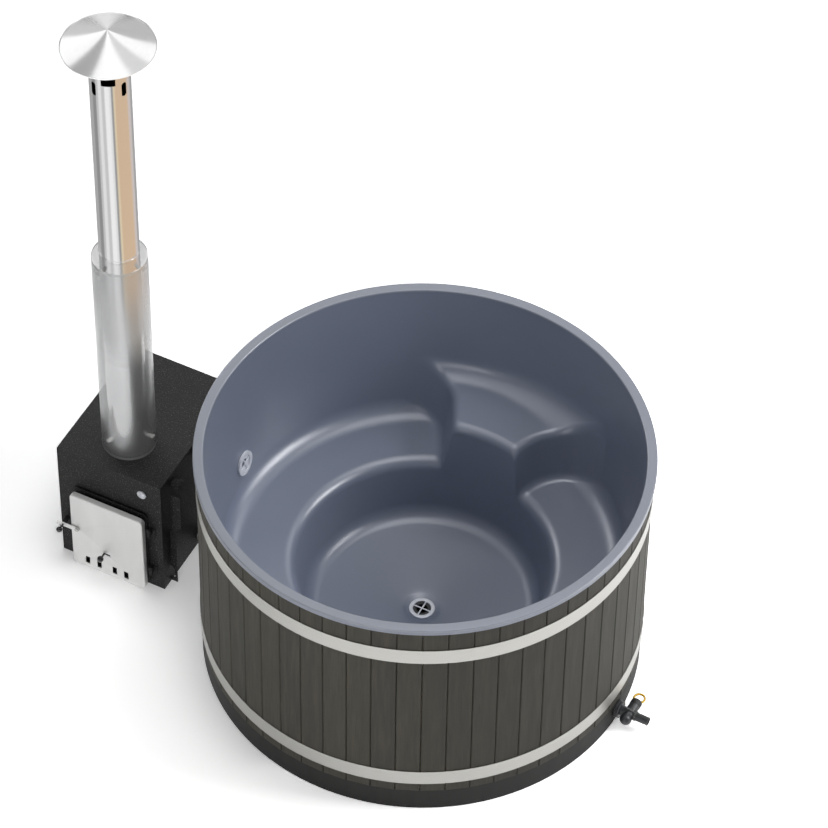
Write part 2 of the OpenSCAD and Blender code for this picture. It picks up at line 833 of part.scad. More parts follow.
module return_body() {
  inner = wall_r(return_z);
  color("gainsboro") difference() {
    union() {
      toward_heater(return_z) translate([0, 0, inner - 2])
        cylinder(r = pipe_r, h = return_tail_end - inner + 2);
      intersection() {
        toward_heater(return_z) translate([0, 0, inner - 30]) cylinder(r = return_flange_r, h = 60);
        rotate_extrude() polygon([for (p = [[-return_flange_t, -90], [0, -90], [0, 90], [-return_flange_t, 90]])
          [wall_r(return_z + p[1]) + p[0], return_z + p[1]]]);
      }
    }
    toward_heater(return_z) translate([0, 0, inner - 40])
      cylinder(r = pipe_in_r, h = return_tail_end);
  }
}

module return_nut() {
  color("#303436") toward_heater(return_z) translate([0, 0, wall_r(return_z + return_nut_r + liner_t) + liner_t + seat])
    tube(return_nut_r, pipe_r + fine, return_nut_t);
}

module return_cover() {
  inner = wall_r(return_z);
  color("gainsboro") rotate([0, 0, 180 + heater_turn]) translate([inner, 0, return_z])
    rotate([0, -90 + wall_draft, 0]) translate([0, 0, return_flange_t + cover_stand])
      strainer_cover(return_flange_t);
}

// ---- Hoses ----

// A quarter of the climbing hose: an arc in the heater's x and z
module hose_arc(at, start) {
  translate(at) rotate([90, 0, 0]) rotate([0, 0, start]) rotate_extrude(angle = hose_bend)
    translate([hose_bend_r, 0]) difference() {
      circle(r = hose_r, $fn = 48);
      circle(r = hose_in_r, $fn = 48);
    }
}

module hose_upper() {
  start = hose_grip;
  end = start + hose_run;
  color("#1d1d1e") at_heater() translate([0, heater_ahead, 0]) {
    translate([seat, 0, stub_z]) rotate([0, 90, 0]) tube(hose_r, hose_in_r, start - seat);
    hose_arc([start, 0, stub_z + hose_bend_r], 270);
    hose_arc([end, 0, return_z - hose_bend_r], 90);
    translate([end, 0, return_z]) rotate([0, 90, 0]) tube(hose_r, hose_in_r, hose_grip);
  }
}

module hose_lower() {
  color("#1d1d1e") at_heater() translate([seat, heater_ahead, drain_z])
    rotate([0, 90, 0]) tube(hose_r, hose_in_r, heater_gap - 4);
}

// A worm-drive clamp round a hose along x, with its screw housing on top
module clamp(x, z) {
  translate([x, heater_ahead, z]) {
    rotate([0, 90, 0]) tube(hose_r + clamp_t, hose_r + fine, clamp_w);
    translate([-1, -9, hose_r + clamp_t / 2]) cube([clamp_w + 2, 18, 8]);
    translate([clamp_w / 2, -13, hose_r + 5]) rotate([-90, 0, 0]) cylinder(r = 3.4, h = 26);
  }
}

module hose_clamps() {
  color("silver") at_heater() {
    clamp(8, stub_z);
    clamp(hose_grip + hose_run + 2, return_z);
    clamp(8, drain_z);
    clamp(heater_gap - 24, drain_z);
  }
}

// ---- Heater ----

module heater_casing() {
  color("#2f3031") at_heater() difference() {
    block([-heater_w, 0, 0], [0, heater_d, heater_h]);
    block([sheet_t - heater_w, sheet_t, -eps], [-sheet_t, heater_d - sheet_t, heater_h - sheet_t]);
    block([mouth_x[0], -eps, mouth_z], [mouth_x[1], sheet_t + eps, mouth_z + mouth_h]);
    translate([flue_x, flue_at, heater_h - 2 * sheet_t]) cylinder(r = flue_hole_r, h = 4 * sheet_t);
    for (z = [stub_z, drain_z]) {
      translate([-2 * sheet_t, heater_ahead, z]) rotate([0, 90, 0]) cylinder(r = stub_hole_r, h = 4 * sheet_t);
    }
    translate([plug_x, 0, plug_z]) along_y(-eps, 2 * sheet_t, plug_shank_r + seat);
  }
}

// An upright plate that stands off the heater's side, notched above the floor and at its head
module side_bracket() {
  color("#262728") at_heater() upright(bracket_y, sheet_t)
    polygon([[0, 0], [27, 0], [27, bracket_neck], [bracket_w, bracket_neck + bracket_step],
      [bracket_w, bracket_top], [12, bracket_top], [12, bracket_neck], [0, bracket_neck],
      [0, 90], [16, 70], [16, 24], [0, 24]]);
}

module side_port() {
  color("#2b2c2d") at_heater() translate([0, port_y, port_z]) {
    along_x(0, port_len - 14, port_r - 4);
    along_x(port_len - 14, port_len - 3, port_r);
    along_x(port_len - 3, port_len, port_r - 3);
  }
}

// A box grown by g on every side
module grown(x, y, z, g) {
  block([x[0] - g, y[0] - g, z[0] - g], [x[1] + g, y[1] + g, z[1] + g]);
}

module water_jacket() {
  mouth_y = [sheet_t - eps, fire_y[0] + plate_t];
  mouth_span = [mouth_z, mouth_z + mouth_h];
  color("#4a4b4c") at_heater() difference() {
    union() {
      grown(jacket_x, jacket_y, jacket_z, 0);
      grown(mouth_x, [sheet_t + plate_t, jacket_y[0]], mouth_span, plate_t);
    }
    difference() {
      grown(jacket_x, jacket_y, jacket_z, -plate_t);
      grown(fire_x, fire_y, fire_z, plate_t);
      grown(mouth_x, mouth_y, mouth_span, plate_t);
      translate([flue_x, flue_at, fire_z[1] - eps]) cylinder(r = flue_r + plate_t, h = 200);
    }
    grown(fire_x, fire_y, fire_z, 0);
    grown(mouth_x, mouth_y, mouth_span, 0);
    translate([flue_x, flue_at, fire_z[1] - eps]) cylinder(r = flue_r, h = 200);
    for (z = [stub_z, drain_z]) {
      translate([jacket_x[1] - 2 * plate_t, heater_ahead, z]) rotate([0, 90, 0])
        cylinder(r = pipe_in_r, h = 4 * plate_t);
    }
  }
}

module jacket_feet() {
  size = 40;
  color("#4a4b4c") at_heater() for (x = [jacket_x[0] + 20, jacket_x[1] - 20 - size]) {
    for (y = [jacket_y[0] + 20, jacket_y[1] - 20 - size]) {
      translate([x, y, 0]) cube([size, size, foot_h]);
    }
  }
}

module grate() {
  bar_t = 10;
  inset = 5;
  leg = 14;
  x = [fire_x[0] + inset, fire_x[1] - inset];
  y = [fire_y[0] + inset, fire_y[1] - inset];
  color("#3a3a3b") at_heater() {
    for (i = [0:10]) {
      translate([x[0] + (x[1] - x[0] - bar_t) * i / 10, y[0], grate_z - bar_t])
        cube([bar_t, y[1] - y[0], bar_t]);
    }
    for (at = [y[0], y[1] - leg]) {
      translate([x[0], at, grate_z - 1.5 * bar_t]) cube([x[1] - x[0], leg, bar_t]);
      for (foot = [x[0], x[1] - leg]) {
        translate([foot, at, fire_z[0]]) cube([leg, leg, grate_z - fire_z[0] - bar_t]);
      }
    }
  }
}

module baffle_plate() {
  color("#3a3a3b") at_heater()
    block([fire_x[0], fire_y[0] + baffle_gap, baffle_z], [fire_x[1], fire_y[1], baffle_z + 6]);
}

module stub_upper() {
  color("#3a3b3c") at_heater() translate([jacket_x[1], heater_ahead, stub_z])
    rotate([0, 90, 0]) tube(pipe_r, pipe_in_r, hose_grip - jacket_x[1]);
}

module stub_lower() {
  color("#3a3b3c") at_heater() translate([jacket_x[1], heater_ahead, drain_z])
    rotate([0, 90, 0]) tube(pipe_r, pipe_in_r, hose_grip - jacket_x[1]);
}

module front_plug() {
  color("whitesmoke") at_heater() translate([plug_x, 0, plug_z]) {
    along_y(-eps, jacket_y[0], plug_shank_r);
    along_y(-plug_head_t / 2, 0, plug_head_r);
    intersection() {
      along_y(-plug_head_t, 0, plug_head_r);
      translate([0, 24 - plug_head_t, 0]) sphere(r = 24);
    }
  }
}

// ---- Door ----

module door_outline(shrink) {
  translate([-door_mid, door_z + door_h / 2])
    rounded_rect(door_w - 2 * shrink, door_h - 2 * shrink, door_corner - shrink);
}

module air_holes(grow) {
  for (x = air_x) {
    translate([air_shift + x - air_w / 2 - grow, air_z - air_h / 2 - grow])
      square([air_w + 2 * grow, air_h + 2 * grow]);
  }
}

module stem_slot() {
  translate([-damper_at, damper_z]) {
    circle(r = slot_half_h);
    translate([damper_travel, 0]) circle(r = slot_half_h);
    translate([0, -slot_half_h]) square([damper_travel, 2 * slot_half_h]);
  }
}

module door_panel() {
  color("#cfcfcd") at_heater() difference() {
    upright(door_face, door_back - door_face) door_outline(0);
    upright(door_face + door_sheet, door_back - door_face) door_outline(door_sheet);
    upright(door_face - eps, 2 * door_sheet) air_holes(0);
    upright(door_face - eps, 2 * door_sheet) stem_slot();
    translate([-latch_pivot_at, 0, latch_z])
      along_y(door_face - eps, door_face + 2 * door_sheet, latch_pin_r + fine);
  }
}

module door_lining() {
  color("#8d8e8e") at_heater() difference() {
    upright(lining_y, lining_t)
      translate([-door_mid, door_z + door_h / 2])
        rounded_rect(door_w - 2 * door_sheet - 2 * fine, door_h - 2 * door_sheet - 2 * fine, door_corner - door_sheet);
    upright(lining_y - eps, 2 * lining_t) air_holes(2);
  }
}

module door_gasket() {
  mid_z = mouth_z + mouth_h / 2;
  w = mouth_w + 2 * gasket_margin;
  h = mouth_h + 2 * gasket_margin;
  color("#d8d4c8") at_heater() upright(lining_y + lining_t, -lining_y - lining_t - seat)
    translate([-door_mid, mid_z]) difference() {
      rounded_rect(w + 2 * gasket_w, h + 2 * gasket_w, gasket_w + 4);
      rounded_rect(w, h, 4);
    }
}

// One knuckle of a hinge, with an arm towards y or towards the door
module hinge_knuckles() {
  color("#303132") at_heater() for (z = hinge_z) {
    translate([hinge_x, -hinge_out, z + knuckle_len + seat]) difference() {
      union() {
        cylinder(r = knuckle_r, h = knuckle_len, $fn = 48);
        translate([door_x[1] - hinge_x, -4, 0]) cube([hinge_x - door_x[1], 8, knuckle_len]);
      }
      translate([0, 0, -eps]) cylinder(r = pin_bore_r, h = knuckle_len + 2 * eps, $fn = 48);
    }
  }
}

module hinge_brackets() {
  color("#303132") at_heater() for (z = hinge_z) {
    translate([hinge_x, -hinge_out, z]) difference() {
      union() {
        cylinder(r = knuckle_r, h = knuckle_len, $fn = 48);
        translate([-4, 0, 0]) cube([8, hinge_out, knuckle_len]);
        translate([-4, hinge_out - 3, -10]) cube([22, 3, knuckle_len + 20]);
      }
      translate([0, 0, -eps]) cylinder(r = pin_r, h = knuckle_len + 2 * eps, $fn = 48);
    }
  }
}

module hinge_pins() {
  color("silver") at_heater() for (z = hinge_z) {
    translate([hinge_x, -hinge_out, z - 1]) cylinder(r = pin_r, h = 2 * knuckle_len + 3, $fn = 48);
    translate([hinge_x, -hinge_out, z - 3]) cylinder(r = pin_r + 1.5, h = 3, $fn = 48);
  }
}

module latch_bar() {
  color("#d6d6d4") at_heater() upright(latch_y, latch_t) difference() {
    translate([-latch_pivot_at, latch_z]) union() {
      circle(r = latch_h / 2);
      translate([-latch_len, -latch_h / 2]) square([latch_len, latch_h]);
    }
    translate([-latch_pivot_at, latch_z]) circle(r = latch_bore_r);
  }
}

module latch_knob() {
  color("#161616") at_heater() translate([-latch_pivot_at - latch_knob_at, latch_y, latch_z]) {
    along_y(-latch_knob_out, 0, latch_stem_r);
    translate([0, -latch_knob_out, 0]) sphere(r = latch_knob_r, $fn = 64);
  }
}

module latch_pivot() {
  color("silver") at_heater() translate([-latch_pivot_at, 0, latch_z]) {
    along_y(latch_y - seat, door_face + door_sheet + 3, latch_pin_r);
    along_y(latch_y - seat - latch_head_t, latch_y - seat, latch_pin_r + 3.5);
    along_y(latch_y + latch_t + seat, door_face, latch_pin_r + 3);
  }
}

// A shelf on the casing that the latch bar's end rests on
module latch_keeper() {
  top = latch_z - latch_h / 2 - seat;
  color("#d6d6d4") at_heater() {
    block([keeper_x, latch_y - 3, top - keeper_t], [keeper_x + keeper_w, 0, top]);
    block([keeper_x, -keeper_t, top - 34], [keeper_x + keeper_w, 0, top]);
  }
}

module damper_plate() {
  left = air_shift + air_x[0] - air_w / 2 - 8;
  right = air_shift + air_x[3] + air_w / 2 + 8;
  color("#8d8e8e") at_heater() difference() {
    union() {
      block([left, damper_y, air_z - damper_h / 2], [right, damper_y + damper_t, air_z + damper_h / 2]);
      block([-damper_at - 12, damper_y, air_z], [-damper_at + 12, damper_y + damper_t, air_z + damper_up]);
    }
    upright(damper_y - eps, damper_t + 2 * eps) air_holes(0);
    translate([-damper_at, 0, damper_z]) along_y(damper_y - eps, damper_y + damper_t + eps, stem_r);
  }
}

module damper_knob() {
  color("#161616") at_heater() translate([-damper_at, 0, damper_z]) {
    along_y(door_face - damper_knob_out, damper_y + damper_t, stem_r);
    translate([0, door_face - damper_knob_out, 0]) sphere(r = damper_knob_r, $fn = 64);
  }
}

// Two rails on the door's sheet that carry the damper plate
module damper_guides() {
  left = air_shift + air_x[0] - air_w / 2 - 10;
  right = air_shift + air_x[3] + air_w / 2 + 10 + damper_travel;
  back = damper_y + damper_t + seat;
  low = air_z - damper_h / 2 - seat;
  high = air_z + damper_h / 2 + seat;
  color("#8d8e8e") at_heater() {
    block([left, door_face + door_sheet, low - guide_h], [right, back + guide_t, low]);
    block([left, back, low - eps], [right, back + guide_t, low + 5]);
    for (x = [[left, -damper_at - 12 - seat - 1], [-damper_at + 12 + damper_travel + seat + 1, right]]) {
      block([x[0], door_face + door_sheet, high], [x[1], back + guide_t, high + guide_h]);
      block([x[0], back, high - 5], [x[1], back + guide_t, high + eps]);
    }
  }
}

// ---- Chimney ----

module at_flue(z) {
  at_heater() translate([flue_x, flue_at, z]) children();
}

module flue_spigot() {
  color("#3a3b3c") {
    at_flue(fire_z[1] + 4) tube(spigot_r, spigot_r - spigot_wall, heater_h + spigot_up - fire_z[1] - 4);
    at_flue(heater_h) tube(flue_r + 16, spigot_r - 1, spigot_flange_t);
  }
}

module pipe_lower() {
  foot = heater_h + spigot_flange_t;
  color("#d9dadb") at_flue(foot) tube(flue_r, flue_r - flue_wall, joint_z - foot);
}

module pipe_upper() {
  color("#d9dadb") difference() {
    at_flue(joint_z) tube(flue_r, flue_r - flue_wall, pipe_top - joint_z);
    for (i = [0:3]) {
      at_flue(window_z) rotate([0, 0, i * 90 - heater_turn])
        translate([flue_r - 15, -window_w / 2, 0]) cube([30, window_w, window_h]);
      at_flue(slot_z + slot_w / 2) rotate([0, 0, i * 90 + 45 - heater_turn]) {
        translate([flue_r - 15, 0, 0]) rotate([0, 90, 0]) cylinder(r = slot_w / 2, h = 30);
        translate([flue_r - 15, -slot_w / 2, 0]) cube([30, slot_w, slot_h - slot_w]);
        translate([flue_r - 15, 0, slot_h - slot_w]) rotate([0, 90, 0]) cylinder(r = slot_w / 2, h = 30);
      }
    }
  }
}

module pipe_joint_ring() {
  color("#e4e5e6") at_flue(joint_z - 3) tube(flue_r + 1.6, flue_r, 6);
}

module heat_guard() {
  color("#c3c5c7") at_flue(guard_z) tube(guard_r, guard_r - guard_wall, guard_h);
}

module guard_spacers() {
  color("silver") for (z = [60, guard_h - 40]) {
    for (i = [0:2]) {
      at_flue(guard_z + z) rotate([0, 0, i * 120]) rotate_extrude(angle = spacer_angle)
        translate([flue_r, 0]) square([guard_r - guard_wall - flue_r, spacer_t]);
    }
  }
}

module rain_cap() {
  color("#d4d5d6") at_flue(0) rotate_extrude() polygon([
    [0, cap_z(0)], [cap_rim_r, cap_rim_z], [cap_rim_r, cap_rim_z - 3], [cap_rim_r - cap_sheet, cap_rim_z - 3],
    [cap_rim_r - cap_sheet, cap_rim_z - cap_sheet + 0.4], [0, cap_z(0) - cap_sheet]]);
}

liner();
staves();
hoop_upper();
hoop_lower();
hoop_bolts();
plinth_ring();
floor_board();
base_joists();
bottom_board();
bench_posts();
wall_insulation();
drain_body();
drain_cover();
drain_manifold();
drain_pipe();
feed_pipe();
wall_flange();
lock_nut();
valve_body();
valve_plug();
valve_cap();
ring_handle();
valve_tether();
return_body();
return_nut();
return_cover();
hose_upper();
hose_lower();
hose_clamps();
heater_casing();
side_bracket();
side_port();
water_jacket();
jacket_feet();
grate();
baffle_plate();
stub_upper();
stub_lower();
front_plug();
door_panel();
door_lining();
door_gasket();
hinge_knuckles();
hinge_brackets();
hinge_pins();
latch_bar();
latch_knob();
latch_pivot();
latch_keeper();
damper_plate();
damper_knob();
damper_guides();
flue_spigot();
pipe_lower();
pipe_upper();
pipe_joint_ring();
heat_guard();
guard_spacers();
rain_cap();
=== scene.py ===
# %% [markdown]
# # A wooden hot tub with a stove beside it
# The measured CAD model is the frame of this scene: every solid of it comes in at its true
# place and size. This lesson dresses that frame. Some solids keep their shape and only get
# a finish, and some are replaced by a fuller form that is worked out with numpy.
# All lengths are metres, the tub's axis is Z, and the viewer stands on the -Y side.

# %% Load the measured frame
import bpy
import bmesh
import json
import numpy as np
from math import radians, sin, cos, tan, pi
from mathutils import Matrix

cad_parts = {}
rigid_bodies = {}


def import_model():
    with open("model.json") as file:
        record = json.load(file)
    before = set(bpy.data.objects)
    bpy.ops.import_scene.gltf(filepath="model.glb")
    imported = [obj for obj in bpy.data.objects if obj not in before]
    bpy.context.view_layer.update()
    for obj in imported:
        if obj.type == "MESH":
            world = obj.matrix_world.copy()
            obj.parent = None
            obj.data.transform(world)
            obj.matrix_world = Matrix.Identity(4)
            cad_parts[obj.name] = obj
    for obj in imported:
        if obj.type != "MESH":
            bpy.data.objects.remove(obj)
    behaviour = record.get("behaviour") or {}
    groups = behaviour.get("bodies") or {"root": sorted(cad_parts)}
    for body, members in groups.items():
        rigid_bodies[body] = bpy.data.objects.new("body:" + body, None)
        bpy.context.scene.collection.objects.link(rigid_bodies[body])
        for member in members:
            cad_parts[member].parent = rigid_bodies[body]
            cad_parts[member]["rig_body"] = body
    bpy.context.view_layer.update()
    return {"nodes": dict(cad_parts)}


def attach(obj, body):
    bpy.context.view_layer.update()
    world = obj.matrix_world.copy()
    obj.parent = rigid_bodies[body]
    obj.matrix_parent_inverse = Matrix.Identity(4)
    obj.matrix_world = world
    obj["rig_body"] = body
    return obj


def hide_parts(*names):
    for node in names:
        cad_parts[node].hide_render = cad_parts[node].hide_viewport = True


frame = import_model()
nodes = frame["nodes"]

# %% [markdown]
# ## The camera
# The photo looks down on the tub from far away through a long lens. The camera's place and
# turn were worked out from the ellipses of the rim and the hoops, so it is written here as
# plain numbers: a position, a heading, a downward pitch and a small roll.

# %% Camera
PLACE = (0.0, -10.6276, 13.0662)
FOCAL_PIXELS, WIDE_PIXELS, SENSOR_MM = 4390.58, 828, 36.0
heading, pitch, roll = -0.0040885, 0.8383516, 0.0178412
forward = np.array([cos(pitch) * sin(heading), cos(pitch) * cos(heading), -sin(pitch)])
level_right = np.array([cos(heading), -sin(heading), 0.0])
level_up = np.cross(level_right, forward)
right = cos(roll) * level_right + sin(roll) * level_up
up = -sin(roll) * level_right + cos(roll) * level_up
camera = bpy.data.objects.new("camera", bpy.data.cameras.new("camera"))
bpy.context.scene.collection.objects.link(camera)
camera.data.sensor_width = SENSOR_MM
camera.data.lens = SENSOR_MM * FOCAL_PIXELS / WIDE_PIXELS
camera.data.clip_end = 200.0
turn = np.eye(4)
turn[:3, 0], turn[:3, 1], turn[:3, 2] = right, up, -forward
turn[:3, 3] = PLACE
camera.matrix_world = Matrix(turn.tolist())
bpy.context.scene.camera = camera
print("camera lens in mm:", round(camera.data.lens, 1))

# %% [markdown]
# ## Making a mesh from a grid of points
# Almost every new piece here is a grid of points: rows along one direction of the surface,
# columns along the other. Neighbouring points make quads, and a direction can close on
# itself, as a ring does. Numpy works out all the points and faces at once.

# %% Grid helpers
def grid_faces(rows, columns, close_rows=False, close_columns=False):
    """Quads (i, j), (i, j+1), (i+1, j+1), (i+1, j) of a grid, wrapped where a side closes."""
    i = np.arange(rows if close_rows else rows - 1)[:, None]
    j = np.arange(columns if close_columns else columns - 1)[None, :]
    i2, j2 = (i + 1) % rows, (j + 1) % columns
    quads = np.stack([i * columns + j, i * columns + j2, i2 * columns + j2, i2 * columns + j], -1)
    return quads.reshape(-1, 4)


def mesh_piece(name, points, quads, body="tub", smooth=40.0, extra=()):
    """Puts an (n, 3) array of points and an (m, 4) array of quads into a new object."""
    mesh = bpy.data.meshes.new(name)
    faces = [*quads.tolist(), *[list(f) for f in extra]]
    mesh.from_pydata(np.asarray(points, float).tolist(), [], faces)
    mesh.validate()
    mesh.shade_smooth()
    mesh.set_sharp_from_angle(angle=radians(smooth))
    piece = bpy.data.objects.new(name, mesh)
    bpy.context.scene.collection.objects.link(piece)
    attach(piece, body)
    return piece


def faces_outwards(piece):
    """Turns all faces so that their normals point out of the closed form."""
    bm = bmesh.new()
    bm.from_mesh(piece.data)
    bmesh.ops.remove_doubles(bm, verts=bm.verts, dist=1e-6)
    bmesh.ops.recalc_face_normals(bm, faces=bm.faces)
    bm.to_mesh(piece.data)
    bm.free()
    return piece


def finished(piece, material, replaces=()):
    """Gives a piece its material and hides the CAD nodes that it stands for."""
    piece.data.materials.clear()
    piece.data.materials.append(material)
    if replaces:
        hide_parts(*replaces)
    return piece


# %% [markdown]
# ## Rounded corners
# A moulded tub has no sharp corner. Each corner of its section is an arc that touches both
# of its straight sides. The same formula works on a whole array of corners at once, so each
# column of the tub's grid can have its own.

# %% Arc between two sides
def unit(v):
    """Vectors along the last axis, scaled to length one."""
    return v / np.linalg.norm(v, axis=-1, keepdims=True)


def arc_corner(before, corner, after, radius, steps):
    """Points on the arc of the given radius that touches corner-before and corner-after.
    Its middle lies on the halving line, radius / sin(half the angle) from the corner."""
    a, b = unit(before - corner), unit(after - corner)
    half = np.arccos(np.clip((a * b).sum(-1), -1, 1)) / 2
    radius = np.broadcast_to(radius, half.shape)
    middle = corner + unit(a + b) * (radius / np.sin(half))[..., None]
    start = corner + a * (radius / np.tan(half))[..., None] - middle
    end = corner + b * (radius / np.tan(half))[..., None] - middle
    sweep = np.pi - 2 * half
    t = np.linspace(0, 1, steps + 1).reshape(-1, *([1] * half.ndim))
    s0 = np.sin((1 - t) * sweep) / np.sin(sweep)
    s1 = np.sin(t * sweep) / np.sin(sweep)
    return middle + s0[..., None] * start + s1[..., None] * end


def line(p, q, steps, ends=True):
    """Points from p to q at even steps, without the two ends unless they are asked for."""
    t = np.linspace(0, 1, steps + 1)
    t = t if ends else t[1:-1]
    t = t.reshape(-1, *([1] * np.ndim(p)))
    return (1 - t) * p + t * q


test = arc_corner(np.array([0.0, 1.0]), np.zeros(2), np.array([1.0, 0.0]), 0.5, 4)
print("a quarter arc starts and ends at", test[0], test[-1])

# %% [markdown]
# ## Writing materials as sums
# A procedural finish is a sum of a few patterns. This small class wraps one socket, so that
# plus, minus, times and the rest add the Math nodes for us. Colours never pass through it:
# they are mixed in their own nodes, because a Math node would turn them grey.

# %% A value in a material
class Value:
    """A number that varies over a surface. Operators on it add Math nodes."""

    def __init__(self, paint, socket):
        self.paint, self.socket = paint, socket

    def do(self, operation, *others, clamp=False):
        return self.paint.node("ShaderNodeMath", {"operation": operation, "use_clamp": clamp},
                               dict(enumerate((self, *others))))

    def __add__(self, other):
        return self.do("ADD", other)

    def __sub__(self, other):
        return self.do("SUBTRACT", other)

    def __mul__(self, other):
        return self.do("MULTIPLY", other)

    def __truediv__(self, other):
        return self.do("DIVIDE", other)

    def __pow__(self, other):
        return self.do("POWER", other)

    def __radd__(self, other):
        return self.paint.number(other) + self

    def __rsub__(self, other):
        return self.paint.node("ShaderNodeMath", {"operation": "SUBTRACT"}, {0: other, 1: self})

    def __rmul__(self, other):
        return self * other

    def __gt__(self, other):
        return self.do("GREATER_THAN", other)

    def __lt__(self, other):
        return self.do("LESS_THAN", other)

    def within(self, low, high, to_low=0.0, to_high=1.0):
        """Eases from to_low to to_high while the value goes from low to high."""
        return self.paint.node("ShaderNodeMapRange", {"interpolation_type": "SMOOTHSTEP"},
                               {0: self, 1: low, 2: high, 3: to_low, 4: to_high})


class Paint:
    """One material and the few calls that build its nodes."""

    def __init__(self, name):
        self.material = bpy.data.materials.new(name)
        self.material.use_nodes = True
        self.tree = self.material.node_tree
        self.tree.nodes.clear()
        self.out = self.tree.nodes.new("ShaderNodeOutputMaterial")

    def plug(self, socket, value):
        if isinstance(value, Value):
            self.tree.links.new(value.socket, socket)
        elif isinstance(value, (tuple, list)) and len(value) == 3 and socket.type == "RGBA":
            socket.default_value = (*value, 1.0)
        else:
            socket.default_value = value

    def node(self, kind, settings=None, inputs=None, output=0):
        """Adds any node: its settings first, then its sockets' values or links."""
        made = self.tree.nodes.new(kind)
        for key, value in (settings or {}).items():
            if key == "stops":
                stops = made.color_ramp.elements
                for n, (place, colour) in enumerate(value):
                    stop = stops[n] if n < 2 else stops.new(place)
                    stop.position, stop.color = place, (*colour, 1.0)
            else:
                setattr(made, key, value)
        for key, value in (inputs or {}).items():
            self.plug(made.inputs[key], value)
        return Value(self, made.outputs[output])

    def number(self, value):
        return self.node("ShaderNodeMath", {"operation": "ADD"}, {0: value, 1: 0.0})

    def place(self, scale=(1, 1, 1), shift=(0, 0, 0), turn=(0, 0, 0)):
        """Object coordinates in metres, shifted, turned and scaled."""
        coordinates = self.node("ShaderNodeTexCoord", output=3)
        return self.node("ShaderNodeMapping", {},
                         {"Vector": coordinates, "Location": shift, "Rotation": turn, "Scale": scale})

    def axes(self, vector=None):
        """The three numbers of a vector, by default of the place on the object."""
        split = self.tree.nodes.new("ShaderNodeSeparateXYZ")
        self.plug(split.inputs[0], vector or self.place())
        return [Value(self, s) for s in split.outputs]

    def vector(self, x, y, z):
        return self.node("ShaderNodeCombineXYZ", {}, {0: x, 1: y, 2: z})

    def noise(self, vector, scale, detail=3.0, rough=0.5):
        return self.node("ShaderNodeTexNoise", {}, {"Vector": vector, "Scale": scale,
                                                    "Detail": detail, "Roughness": rough})

    def mix(self, amount, a, b, blend="MIX"):
        """Colour a where amount is 0 and colour b where it is 1."""
        return self.node("ShaderNodeMix", {"data_type": "RGBA", "blend_type": blend},
                         {0: amount, 6: a, 7: b}, output=2)

    def bump(self, height, distance, strength=1.0):
        return self.node("ShaderNodeBump", {}, {"Height": height, "Distance": distance,
                                                "Strength": strength})

    def finish(self, **sockets):
        """The surface itself. Underscores in a name stand for spaces in the socket's name."""
        made = self.tree.nodes.new("ShaderNodeBsdfPrincipled")
        for key, value in sockets.items():
            self.plug(made.inputs[key.replace("_", " ")], value)
        self.tree.links.new(made.outputs[0], self.out.inputs[0])
        return self.material


def tone(red, green, blue):
    """The linear colour of a 0 to 255 screen colour."""
    c = np.array([red, green, blue]) / 255
    return tuple(np.where(c <= 0.04045, c / 12.92, ((c + 0.055) / 1.055) ** 2.4).tolist())


print("mid grey is", [round(v, 3) for v in tone(128, 128, 128)])

# %% [markdown]
# ## The tub's moulded plastic
# The liner is one blue-grey moulding with a satin skin. Under a lamp its roundings carry
# soft bright lines. The finish is a plain colour with a very slight cloudiness, a fine
# orange-peel bump as moulded plastic has, and a roughness that wanders a little. The rim is
# painted a little paler: a painted sheen on its top, where it catches the light.

# %% Satin blue-grey plastic
SHEEN_PAINT_FROM, SHEEN_PAINT_TO = 1.036, 1.044


def make_shell_plastic():
    p = Paint("shell_plastic")
    at = p.place()
    clouds = p.noise(at, 2.5, 3.0)
    grain = p.noise(at, 420.0, 2.0)
    height = p.axes()[2]
    colour = p.mix(clouds.within(0.3, 0.7), tone(125, 133, 152), tone(128, 136, 155))
    # Painted sheen: the top of the rim is mixed towards a paler tone by height.
    colour = p.mix(height.within(SHEEN_PAINT_FROM, SHEEN_PAINT_TO), colour, tone(145, 151, 165))
    return p.finish(Base_Color=colour, Roughness=0.31 + clouds * 0.06,
                    Normal=p.bump(grain, 0.0002, 0.25), Specular_IOR_Level=0.9)


shell_plastic = make_shell_plastic()

# %% [markdown]
# ## Stained planks
# Each plank is cut from its own board, so each has its own shade and its own grain, which
# runs upwards. The plank's number comes from its bearing round the tub, and a white-noise
# node turns that number into a random one. The grain is noise stretched along Z. A soft band
# of bearings on the front right is mixed towards a darker tone, as painted shade.

# %% Stained wood round the tub
PLANKS = 57
SEAM = 5.15
PLANK_FACE = 0.840
SHADE_BEARING = -45.0


